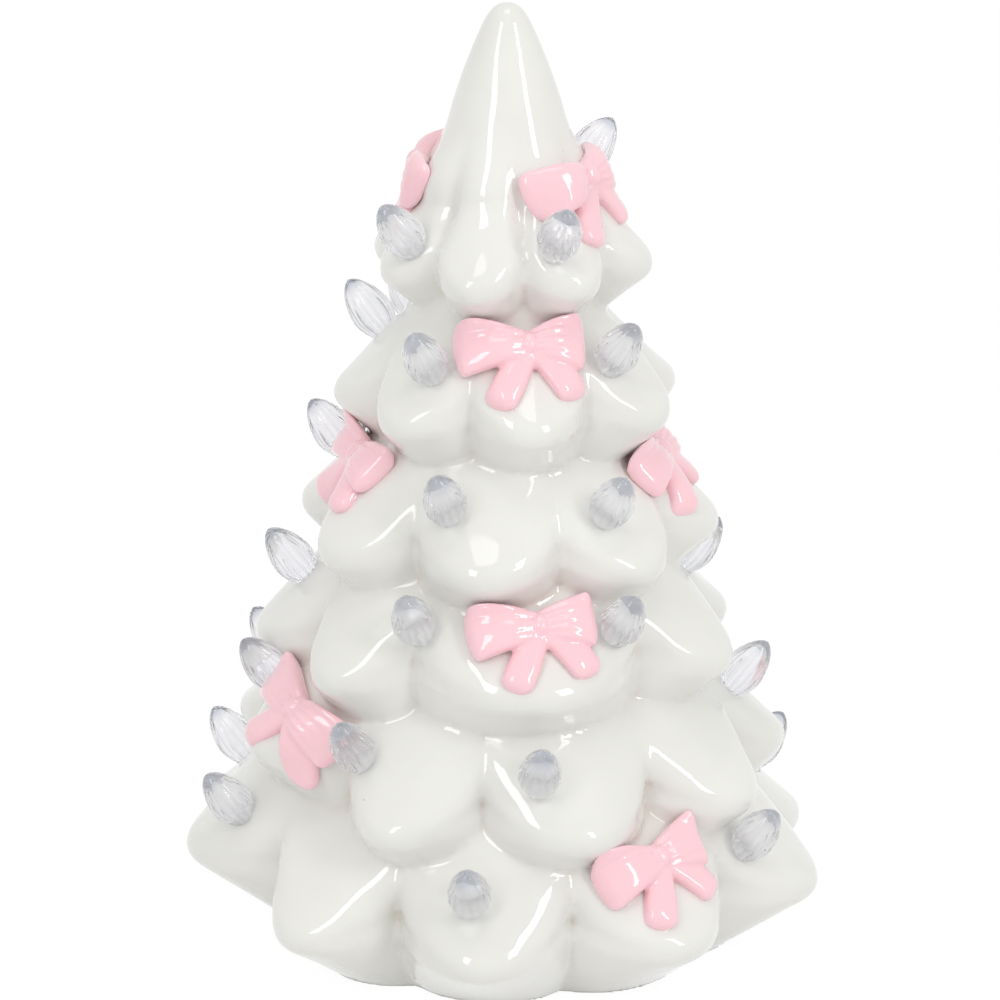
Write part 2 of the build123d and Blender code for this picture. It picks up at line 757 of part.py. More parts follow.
def make_black_leads():
    """From the last cell's negative tab to the switch, and from the switch to the board."""
    terminal_top = switch_top + terminal_height
    near = (-terminal_spacing / 2, switch_place, terminal_top)
    far = (terminal_spacing / 2, switch_place, terminal_top)
    first = make_lead((*NEGATIVE_TAB, tab_top), near, board_top + lead_rise)
    second = make_lead(far, (pad_places[0], pad_y, board_top), board_top + 2 * lead_rise)
    return [first, second]


def write(name, shape):
    """Write one node."""
    export_step(shape, f"parts/{name}.step")


def write_group(name, solids):
    """Write one node of several like solids."""
    write(name, Compound(children=solids))


write("tree_body", make_tree_body())
bulb = make_bulb()
for number, place in enumerate(BULB_PLACES, start=1):
    write(f"bulb_{number:02d}", place * bulb)
raw_bow = make_raw_bow()
bow_rows = zip(bow_tiers, bow_azimuths, bow_rise_shares, bow_leans, bow_rolls)
for number, row in enumerate(bow_rows, start=1):
    write(f"bow_{number:02d}", make_bow(raw_bow, *row))
write("light_base", make_light_base())
write("battery_door", make_battery_door())
write_group("aaa_cells", make_cells())
write_group("positive_contacts", make_positive_contacts())
write_group("negative_contacts", make_negative_contacts())
write("switch_body", make_switch_body())
write("switch_slider", make_switch_slider())
write("led_board", make_led_board())
write("led", make_led())
write_group("board_screws", make_board_screws())
write("red_lead", make_red_lead())
write_group("black_leads", make_black_leads())
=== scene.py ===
"""Looks of a glazed ceramic tree with clay bows, clear peg bulbs and a battery light in its foot."""

import logging
import math
from dataclasses import dataclass, field
from enum import Enum
from typing import Any, Iterable, Optional, Union

import bpy
import numpy as np
from mathutils import Matrix, Vector
from mathutils.bvhtree import BVHTree


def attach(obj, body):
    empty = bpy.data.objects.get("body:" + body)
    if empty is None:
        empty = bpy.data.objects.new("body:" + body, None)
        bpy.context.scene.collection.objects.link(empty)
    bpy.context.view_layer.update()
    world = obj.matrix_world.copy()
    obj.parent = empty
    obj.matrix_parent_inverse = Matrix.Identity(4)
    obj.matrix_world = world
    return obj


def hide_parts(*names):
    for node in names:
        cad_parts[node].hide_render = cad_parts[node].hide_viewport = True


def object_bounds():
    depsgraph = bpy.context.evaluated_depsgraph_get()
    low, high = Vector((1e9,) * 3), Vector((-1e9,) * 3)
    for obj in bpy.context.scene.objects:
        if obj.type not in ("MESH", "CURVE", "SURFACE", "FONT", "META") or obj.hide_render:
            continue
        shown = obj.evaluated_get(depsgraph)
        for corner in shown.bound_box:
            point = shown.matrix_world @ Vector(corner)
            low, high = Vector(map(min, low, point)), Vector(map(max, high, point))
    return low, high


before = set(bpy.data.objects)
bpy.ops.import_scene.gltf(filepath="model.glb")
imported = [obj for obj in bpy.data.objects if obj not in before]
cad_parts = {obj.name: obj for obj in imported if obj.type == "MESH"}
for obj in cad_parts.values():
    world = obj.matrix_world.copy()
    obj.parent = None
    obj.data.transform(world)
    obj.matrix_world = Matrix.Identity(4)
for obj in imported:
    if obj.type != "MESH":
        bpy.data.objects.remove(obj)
cad_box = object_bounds()

MM = 0.001
TREE_BODY = "tree"
FULL_TURN = 360.0
log = logging.getLogger("ceramic_tree")

Colour = tuple[float, float, float]
Span = tuple[float, float]


class Octaves(float, Enum):
    """How fine a noise gets."""

    PLAIN = 1.0
    SOFT = 2.0
    FINE = 3.0


class Slot(str, Enum):
    """Material slots of the record; the new pieces' materials carry the same names."""

    WHITE_GLAZE = "white_glaze"
    PINK_GLAZE = "pink_glaze"
    CLEAR_PLASTIC = "clear_plastic"


class Port:
    """Output of a node that can stand in a sum."""

    def __init__(self, graph: "Graph", socket: bpy.types.NodeSocket) -> None:
        """Keep the node graph and the socket."""
        self.graph = graph
        self.socket = socket

    def _math(self, operation: str, first: Any, second: Any = 0.0) -> "Port":
        """Add one Math node."""
        return self.graph.node("ShaderNodeMath", {"operation": operation}, {0: first, 1: second})

    def __add__(self, other: Any) -> "Port":
        """Sum."""
        return self._math("ADD", self, other)

    def __radd__(self, other: Any) -> "Port":
        """Sum with a number first."""
        return self._math("ADD", other, self)

    def __sub__(self, other: Any) -> "Port":
        """Difference."""
        return self._math("SUBTRACT", self, other)

    def __rsub__(self, other: Any) -> "Port":
        """Difference with a number first."""
        return self._math("SUBTRACT", other, self)

    def __mul__(self, other: Any) -> "Port":
        """Product."""
        return self._math("MULTIPLY", self, other)

    def __rmul__(self, other: Any) -> "Port":
        """Product with a number first."""
        return self._math("MULTIPLY", other, self)

    def __gt__(self, other: Any) -> "Port":
        """One where this is the greater, zero elsewhere."""
        return self._math("GREATER_THAN", self, other)

    def __lt__(self, other: Any) -> "Port":
        """One where this is the smaller, zero elsewhere."""
        return self._math("LESS_THAN", self, other)

    def highest(self, other: Any) -> "Port":
        """The larger of two values."""
        return self._math("MAXIMUM", self, other)

    def unsigned(self) -> "Port":
        """The value without its sign."""
        return self._math("ABSOLUTE", self)

    def swing(self, span: Span) -> "Port":
        """First value of the span plus this much of its second."""
        return span[0] + self * span[1]

    def ramp(self, low: float, high: float) -> "Port":
        """Smooth rise from zero at low to one at high.

        Args:
            low: value where the rise starts.
            high: value where the rise ends; below low for a fall.

        Returns:
            The risen value, from zero to one.
        """
        settings = {"interpolation_type": "SMOOTHSTEP"}
        if low < high:
            return self.graph.node("ShaderNodeMapRange", settings, {0: self, 1: low, 2: high})
        return 1 - self.graph.node("ShaderNodeMapRange", settings, {0: self, 1: high, 2: low})


class Graph:
    """Node tree of a material or a world."""

    def __init__(self, tree: bpy.types.NodeTree) -> None:
        """Start from an empty tree."""
        self.tree = tree
        tree.nodes.clear()

    def node(self, kind: str, settings: Optional[dict[str, Any]] = None,
             inputs: Optional[dict[Any, Any]] = None, output: Any = 0) -> Port:
        """Add one node.

        Args:
            kind: Blender's type name of the node.
            settings: properties to set first.
            inputs: values or ports for its sockets, by name or place.
            output: name or place of the output that is wanted.

        Returns:
            That output.
        """
        made = self.tree.nodes.new(kind)
        for name, value in (settings or {}).items():
            setattr(made, name, value)
        for name, value in (inputs or {}).items():
            if isinstance(value, Port):
                self.tree.links.new(value.socket, made.inputs[name])
            else:
                made.inputs[name].default_value = value
        return Port(self, made.outputs[output]) if made.outputs else Port(self, made.inputs[0])

    def place(self) -> Port:
        """Place on the piece, in metres."""
        return self.node("ShaderNodeTexCoord", output="Object")

    def noise(self, scale: float, octaves: Octaves = Octaves.SOFT, vector: Optional[Port] = None) -> Port:
        """Soft noise about one half.

        Args:
            scale: waves to the metre.
            octaves: how fine it gets.
            vector: place to read it at, or the place on the piece.

        Returns:
            The noise value.
        """
        where = vector or self.place()
        inputs = {"Vector": where, "Scale": scale, "Detail": octaves.value}
        return self.node("ShaderNodeTexNoise", inputs=inputs)

    def mix(self, share: Any, first: Any, second: Any) -> Port:
        """Colour between two colours.

        Args:
            share: how much of the second colour.
            first: colour or port at zero.
            second: colour or port at one.

        Returns:
            The mixed colour.
        """
        ends = [value if isinstance(value, Port) else (*value, 1.0) for value in (first, second)]
        return self.node("ShaderNodeMix", {"data_type": "RGBA"}, {0: share, 6: ends[0], 7: ends[1]}, 2)

    def attribute(self, name: str) -> Port:
        """Value stored on the mesh."""
        return self.node("ShaderNodeAttribute", {"attribute_name": name}, output="Fac")

    def height(self) -> Port:
        """Height of the point above the table, in metres."""
        return self.node("ShaderNodeSeparateXYZ", inputs={0: self.place()}, output="Z")

    def bump(self, height: Port, strength: float, distance: float) -> Port:
        """Normal tilted by a height.

        Args:
            height: height pattern from zero to one.
            strength: share of the tilt that is used.
            distance: real height of one, in metres.

        Returns:
            The tilted normal.
        """
        inputs = {"Height": height, "Strength": strength, "Distance": distance}
        return self.node("ShaderNodeBump", inputs=inputs)

    def surface(self, **sockets: Any) -> None:
        """Finish a material with one shader; names use underscores for spaces."""
        inputs = {name.replace("_", " "): value for name, value in sockets.items()}
        shader = self.node("ShaderNodeBsdfPrincipled", {}, inputs)
        self.node("ShaderNodeOutputMaterial", {}, {"Surface": shader})


def new_material(name: str) -> tuple[bpy.types.Material, Graph]:
    """Make an empty material.

    Args:
        name: its name.

    Returns:
        The material and its node graph.
    """
    material = bpy.data.materials.new(name)
    material.use_nodes = True
    return material, Graph(material.node_tree)


@dataclass(frozen=True)
class WhiteGlaze:
    """Glossy warm white glaze with painted shade, darker and beige, in the creases, a few kiln specks and a
    bare foot.
    """

    body: Colour = (0.80, 0.795, 0.75)
    pale: Colour = (0.84, 0.835, 0.795)
    # colour of the painted shade in the creases
    crease: Colour = (0.62, 0.53, 0.40)
    speck: Colour = (0.16, 0.11, 0.07)
    bisque: Colour = (0.78, 0.74, 0.66)
    cloud_scale: float = 28.0
    cloud_rise: Span = (0.35, 0.65)
    crease_rise: Span = (0.08, 0.9)
    crease_share: float = 0.9
    speck_cells: float = 150.0
    speck_radius: float = 0.035
    speck_core_share: float = 0.4
    speck_rarity: float = 0.93
    speck_share: float = 0.75
    foot_height: float = 0.3 * MM
    foot_roughness: float = 0.6
    wave_scales: Span = (55.0, 160.0)
    fine_wave_share: float = 0.3
    wave_tilt: float = 0.25
    wave_height: float = 0.6 * MM
    gloss: Span = (0.02, 0.03)
    gloss_scale: float = 90.0
    coat: float = 0.6
    coat_gloss: float = 0.03
    index: float = 1.52

    def material(self) -> bpy.types.Material:
        """Build the finish."""
        material, g = new_material("white_glaze")
        white = g.mix(g.noise(self.cloud_scale, Octaves.FINE).ramp(*self.cloud_rise), self.body, self.pale)
        # painted shade: the creases darken the white towards beige
        crease_shade = g.attribute("crease").ramp(*self.crease_rise) * self.crease_share
        shaded = g.mix(crease_shade, white, self.crease)
        cells = {"Vector": g.place(), "Scale": self.speck_cells}
        near = g.node("ShaderNodeTexVoronoi", {}, cells, "Distance")
        shade = g.node("ShaderNodeTexVoronoi", {}, cells, "Color")
        rare = g.node("ShaderNodeSeparateColor", {}, {0: shade}) > self.speck_rarity
        specks = near.ramp(self.speck_radius, self.speck_radius * self.speck_core_share) * rare
        dotted = g.mix(specks * self.speck_share, shaded, self.speck)
        bare = g.height() < self.foot_height
        wide, fine = (g.noise(scale, Octaves.PLAIN) for scale in self.wave_scales)
        gloss = g.noise(self.gloss_scale).swing(self.gloss)
        g.surface(Base_Color=g.mix(bare, dotted, self.bisque), Roughness=gloss + bare * self.foot_roughness,
                  Coat_Weight=(1 - bare) * self.coat, Coat_Roughness=self.coat_gloss, IOR=self.index,
                  Normal=g.bump(wide + fine * self.fine_wave_share, self.wave_tilt, self.wave_height))
        return material


@dataclass(frozen=True)
class PinkGlaze:
    """Pastel pink gloss: deeper pink in the folds where it pools, with painted shade there, and a painted
    highlight that makes the ridges paler.
    """

    body: Colour = (0.99, 0.60, 0.655)
    pale: Colour = (1.0, 0.71, 0.745)
    # colour of the folds: the glaze's pooling and painted shade
    pool_shade: Colour = (0.95, 0.42, 0.48)
    cloud_scale: float = 120.0
    cloud_share: float = 0.35
    ridge_rise: Span = (0.15, 0.9)
    ridge_share: float = 0.7
    pool_rise: Span = (0.05, 0.9)
    pool_share: float = 0.85
    wave_scale: float = 220.0
    wave_tilt: float = 0.2
    wave_height: float = 0.3 * MM
    gloss: Span = (0.06, 0.06)
    coat: float = 0.6
    coat_gloss: float = 0.03
    index: float = 1.52

    def material(self) -> bpy.types.Material:
        """Build the finish."""
        material, g = new_material("pink_glaze")
        cloud = g.noise(self.cloud_scale)
        # painted highlight: the ridges turn paler
        ridge = g.attribute("ridge").ramp(*self.ridge_rise) * self.ridge_share
        pink = g.mix(ridge + cloud * self.cloud_share, self.body, self.pale)
        # the folds deepen: pooled glaze with painted shade
        pool_and_shade = g.attribute("crease").ramp(*self.pool_rise) * self.pool_share
        wave = g.bump(g.noise(self.wave_scale, Octaves.PLAIN), self.wave_tilt, self.wave_height)
        g.surface(Base_Color=g.mix(pool_and_shade, pink, self.pool_shade), Roughness=cloud.swing(self.gloss),
                  Coat_Weight=self.coat, Coat_Roughness=self.coat_gloss, IOR=self.index, Normal=wave)
        return material


@dataclass(frozen=True)
class ClearPlastic:
    """Clear moulded styrene with a faint lavender tint, painted lavender-grey shade along the rib grooves,
    painted slate shade at the tip and faint flow marks.
    """

    tint: Colour = (0.975, 0.975, 0.995)
    # colours of the painted shade in the rib grooves and at the tip
    groove: Colour = (0.78, 0.79, 0.85)
    tip_shade: Colour = (0.62, 0.65, 0.74)
    groove_share: float = 0.9
    flow_scale: float = 400.0
    flow_share: float = 0.1
    flow_tilt: float = 0.15
    flow_height: float = 0.1 * MM
    tip_rise: Span = (0.78, 1.0)
    gloss: Span = (0.02, 0.03)
    clear: float = 0.8
    coat: float = 0.7
    coat_gloss: float = 0.02
    index: float = 1.3

    def material(self) -> bpy.types.Material:
        """Build the finish."""
        material, g = new_material("clear_plastic")
        flow = g.noise(self.flow_scale)
        # painted shade along the rib grooves
        groove_shaded = g.mix(g.attribute("groove") * self.groove_share, self.tint, self.groove)
        # painted shade: the tip turns slate
        tip = (g.attribute("tip") + flow * self.flow_share).ramp(*self.tip_rise)
        g.surface(Base_Color=g.mix(tip, groove_shaded, self.tip_shade), Roughness=flow.swing(self.gloss),
                  Normal=g.bump(flow, self.flow_tilt, self.flow_height), IOR=self.index,
                  Transmission_Weight=self.clear, Coat_Weight=self.coat, Coat_Roughness=self.coat_gloss)
        return material


@dataclass(frozen=True)
class MouldedPlastic:
    """Satin moulded plastic with a fine spark texture."""

    name: str
    colour: Colour
    shade: Colour
    gloss: float = 0.42
    cloud_scale: float = 90.0
    cloud_rise: Span = (0.3, 0.7)
    grain_scale: float = 1600.0
    grain_gloss: float = 0.12
    grain_tilt: float = 0.3
    grain_height: float = 0.05 * MM
    index: float = 1.5

    def material(self) -> bpy.types.Material:
        """Build the finish."""
        material, g = new_material(self.name)
        cloud = g.noise(self.cloud_scale, Octaves.FINE).ramp(*self.cloud_rise)
        grain = g.noise(self.grain_scale)
        g.surface(Base_Color=g.mix(cloud, self.colour, self.shade),
                  Roughness=self.gloss + grain * self.grain_gloss,
                  Normal=g.bump(grain, self.grain_tilt, self.grain_height), IOR=self.index)
        return material


@dataclass(frozen=True)
class BrushedMetal:
    """Plated metal with fine drawn lines and dull stains."""

    name: str
    colour: Colour
    dull_share: float = 0.72
    stain_scale: float = 150.0
    stain_rise: Span = (0.45, 0.8)
    line_scale: float = 2600.0
    line_stretch: tuple[float, float, float] = (0.06, 1.0, 1.0)
    line_tilt: float = 0.2
    line_height: float = 0.02 * MM
    gloss: Span = (0.22, 0.2)

    def material(self) -> bpy.types.Material:
        """Build the finish."""
        material, g = new_material(self.name)
        drawn = g.node("ShaderNodeMapping", {}, {"Vector": g.place(), "Scale": self.line_stretch})
        lines = g.noise(self.line_scale, Octaves.FINE, drawn)
        stain = g.noise(self.stain_scale).ramp(*self.stain_rise)
        dull = tuple(self.dull_share * part for part in self.colour)
        g.surface(Base_Color=g.mix(stain, self.colour, dull), Metallic=1.0,
                  Roughness=lines.swing(self.gloss),
                  Normal=g.bump(lines, self.line_tilt, self.line_height))
        return material


@dataclass(frozen=True)
class CellJacket:
    """Printed sleeve of a dry cell: a dark middle, a light band at each end and bare metal ends."""

    dark: Colour = (0.05, 0.055, 0.065)
    light: Colour = (0.62, 0.36, 0.10)
    steel: Colour = (0.72, 0.72, 0.70)
    half_length: float = 22.25 * MM
    bare_end: float = 1.4 * MM
    band_share: float = 0.36
    scuff_scale: float = 300.0
    gloss: Span = (0.28, 0.15)

    def material(self) -> bpy.types.Material:
        """Build the finish."""
        material, g = new_material("cell_jacket")
        reach = g.node("ShaderNodeSeparateXYZ", inputs={0: g.place()}, output="X").unsigned()
        ends = reach > self.half_length - self.bare_end
        band = reach > self.half_length * (1 - self.band_share)
        sleeve = g.mix(band, self.dark, self.light)
        scuff = g.noise(self.scuff_scale, Octaves.FINE)
        g.surface(Base_Color=g.mix(ends, sleeve, self.steel), Metallic=ends,
                  Roughness=scuff.swing(self.gloss))
        return material


@dataclass(frozen=True)
class BoardLaminate:
    """White solder mask over a fine glass weave."""

    mask: Colour = (0.80, 0.83, 0.81)
    weave: Colour = (0.70, 0.76, 0.70)
    weave_scale: float = 900.0
    weave_share: float = 0.35
    weave_tilt: float = 0.1
    weave_height: float = 0.02 * MM
    cloud_scale: float = 200.0
    cloud_share: float = 0.2
    gloss: Span = (0.25, 0.15)

    def material(self) -> bpy.types.Material:
        """Build the finish."""
        material, g = new_material("board_laminate")
        checks = g.node("ShaderNodeTexChecker", {}, {"Vector": g.place(), "Scale": self.weave_scale}, "Fac")
        cloud = g.noise(self.cloud_scale)
        woven = checks * self.weave_share + cloud * self.cloud_share
        g.surface(Base_Color=g.mix(woven, self.mask, self.weave), Roughness=cloud.swing(self.gloss),
                  Normal=g.bump(checks, self.weave_tilt, self.weave_height))
        return material


@dataclass(frozen=True)
class LampEpoxy:
    """Warm clear epoxy of the lamp."""

    tint: Colour = (0.96, 0.90, 0.66)
    cloud_scale: float = 500.0
    gloss: Span = (0.05, 0.05)
    clear: float = 0.8
    index: float = 1.5

    def material(self) -> bpy.types.Material:
        """Build the finish."""
        material, g = new_material("lamp_epoxy")
        cloud = g.noise(self.cloud_scale)
        g.surface(Base_Color=(*self.tint, 1.0), Roughness=cloud.swing(self.gloss), IOR=self.index,
                  Transmission_Weight=self.clear)
        return material


@dataclass
class Skin:
    """Vertices and edges of a mesh as arrays, for smoothing and measuring."""

    mesh: bpy.types.Mesh
    points: np.ndarray = field(init=False)
    edges: np.ndarray = field(init=False)
    links: np.ndarray = field(init=False)
    ease: float = 0.5
    depth_rounds: int = 3

    def __post_init__(self) -> None:
        """Read the mesh."""
        self.points = np.empty(len(self.mesh.vertices) * 3)
        self.mesh.vertices.foreach_get("co", self.points)
        self.points = self.points.reshape(-1, 3)
        self.edges = np.empty(len(self.mesh.edges) * 2, np.int64)
        self.mesh.edges.foreach_get("vertices", self.edges)
        self.edges = self.edges.reshape(-1, 2)
        self.links = np.maximum(np.bincount(self.edges.ravel(), minlength=len(self.points)), 1)

    def neighbours(self, values: np.ndarray) -> np.ndarray:
        """Mean of the neighbours' values at each vertex."""
        left, right = self.edges.T
        columns = []
        for column in values.reshape(len(values), -1).T:
            total = np.bincount(left, column[right], len(values))
            total = total + np.bincount(right, column[left], len(values))
            columns.append(total / self.links)
        return np.stack(columns, 1).reshape(values.shape)

    def eased(self, values: np.ndarray, rounds: int, where: Union[float, np.ndarray] = 1.0) -> np.ndarray:
        """Values drawn towards their neighbours' mean.

        Args:
            values: a number or a row for each vertex.
            rounds: how often to draw them.
            where: how much of it each vertex takes.

        Returns:
            The eased values.
        """
        share = self.ease * np.broadcast_to(where, len(values))
        share = share[:, None] if values.ndim > 1 else share
        for _ in range(rounds):
            values = values + share * (self.neighbours(values) - values)
        return values

    def settle(self, rounds: int, where: Union[float, np.ndarray] = 1.0) -> None:
        """Plain smoothing of the surface, in place, that fills creases and wears ridges."""
        self.points[:] = self.eased(self.points, rounds, where)

    def normals(self) -> np.ndarray:
        """Unit normals of the vertices, from the mesh as it was last written."""
        found = np.empty(len(self.points) * 3, np.float32)
        self.mesh.vertex_normals.foreach_get("vector", found)
        return found.reshape(-1, 3).astype(float)

    def hollow(self, rounds: int) -> np.ndarray:
        """Depth of each vertex below its smoothed surroundings, in metres.

        Args:
            rounds: how wide the surroundings are.

        Returns:
            Depths, below zero on ridges.
        """
        depth = np.einsum("ij,ij->i", self.eased(self.points, rounds) - self.points, self.normals())
        return self.eased(depth, self.depth_rounds)

    def write(self) -> None:
        """Put the points back into the mesh."""
        self.mesh.vertices.foreach_set("co", self.points.astype(np.float32).ravel())
        self.mesh.update()

    def store(self, name: str, values: np.ndarray) -> None:
        """Keep a value for the shader on each vertex."""
        layer = self.mesh.attributes.new(name, "FLOAT", "POINT")
        layer.data.foreach_set("value", values.astype(np.float32))


def add_object(name: str, mesh: bpy.types.Mesh) -> bpy.types.Object:
    """Put a mesh into the scene.

    Args:
        name: name of the piece.
        mesh: its mesh.

    Returns:
        The new object.
    """
    piece = bpy.data.objects.new(name, mesh)
    bpy.context.scene.collection.objects.link(piece)
    return piece


def shade_smooth(mesh: bpy.types.Mesh) -> None:
    """Smooth shading on every face."""
    mesh.polygons.foreach_set("use_smooth", [True] * len(mesh.polygons))


def reskin(mesh: bpy.types.Mesh, voxel: float) -> bpy.types.Mesh:
    """One even skin round everything in a mesh.

    Args:
        mesh: closed pieces that may overlap.
        voxel: size of the new faces, in metres.

    Returns:
        A new closed mesh.
    """
    holder = add_object("reskin_holder", mesh)
    remesh = holder.modifiers.new("skin", "REMESH")
    remesh.mode = "VOXEL"
    remesh.voxel_size = voxel
    graph = bpy.context.evaluated_depsgraph_get()
    made = bpy.data.meshes.new_from_object(holder.evaluated_get(graph))
    bpy.data.objects.remove(holder)
    return made


def grid_mesh(name: str, rings: np.ndarray) -> bpy.types.Mesh:
    """Closed skin through rings of points, with a fan over each end ring.

    Args:
        name: name of the mesh.
        rings: array of rings, points round each ring and coordinates.

    Returns:
        The mesh.
    """
    count, around = rings.shape[:2]
    points = np.vstack([rings.reshape(-1, 3), rings[0].mean(0), rings[-1].mean(0)])
    low, high = len(points) - 2, len(points) - 1
    last = (count - 1) * around
    faces: list[tuple[int, ...]] = []
    for ring in range(count - 1):
        for step in range(around):
            following = (step + 1) % around
            faces.append((ring * around + step, ring * around + following,
                          (ring + 1) * around + following, (ring + 1) * around + step))
    for step in range(around):
        following = (step + 1) % around
        faces.append((low, following, step))
        faces.append((high, last + step, last + following))
    mesh = bpy.data.meshes.new(name)
    mesh.from_pydata(points.tolist(), [], faces)
    mesh.update()
    return mesh


def joined_mesh(parts: Iterable[bpy.types.Mesh]) -> bpy.types.Mesh:
    """One mesh of several, which may overlap.

    Args:
        parts: the meshes to join.

    Returns:
        The new mesh.
    """
    points: list[list[float]] = []
    faces: list[list[int]] = []
    for part in parts:
        offset = len(points)
        points += [list(v.co) for v in part.vertices]
        faces += [[index + offset for index in face.vertices] for face in part.polygons]
    joined = bpy.data.meshes.new("joined")
    joined.from_pydata(points, [], faces)
    return joined


def bulb_nodes() -> list[str]:
    """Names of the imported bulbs, in order."""
    return sorted(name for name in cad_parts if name.startswith("bulb_"))


def claim(piece: bpy.types.Object, node: str) -> None:
    """Tie a new piece to the tree's body and the node that it stands for."""
    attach(piece, TREE_BODY)
    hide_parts(node)
    log.info("%s rides on %s in place of %s", piece.name, TREE_BODY, node)


@dataclass(frozen=True)
class Tier:
    """One ring of boughs: azimuths of their left creases, rises in pitches and shares of the reach."""

    height: float
    creases: tuple[float, ...]
    rises: tuple[float, ...]
    reaches: tuple[float, ...]


TIERS = (
    Tier(17.0 * MM, (-57, -24, 14, 52, 90, 126, 162, 198, 232, 266),
         (0, 0, 0, 0, 0, 0, 0, 0, 0.1, 0.25), (1, 1, 1, 1, 0.97, 1, 1, 1, 1, 1.01)),
    Tier(43.9 * MM, (-43, -6, 37, 76, 116, 156, 196, 236, 276),
         (0, 0, 0, 0, 0, 0, 0, 0.15, 0.33), (0.99, 0.99, 0.99, 0.98, 0.98, 1, 1, 0.97, 0.97)),
    Tier(75.9 * MM, (-62, -27, 41, 82, 122, 164, 208, 253),
         (0, 0, 0, 0, 0, 0, 0, 0), (1.02, 0.98, 0.98, 0.9, 0.97, 1, 1, 1)),
    Tier(103.3 * MM, (-75, -31, 17.5, 62, 107, 152, 196, 240),
         (0, 0, -0.05, 0, 0, 0, 0, 0.08), (1.02, 1, 1, 0.98, 0.98, 1, 0.98, 0.96)),
    Tier(135.7 * MM, (-61, -15, 33, 80, 125, 168, 210, 252),
         (0, 0, 0, 0, 0, 0, 0, 0), (1, 1, 1.02, 0.96, 0.97, 1, 0.97, 0.96)),
    Tier(167.9 * MM, (-40, 9, 55, 108, 165, 222, 270),
         (0, 0, 0, 0, 0, 0, 0), (1, 1, 1.02, 1, 1, 1, 0.95)),
)


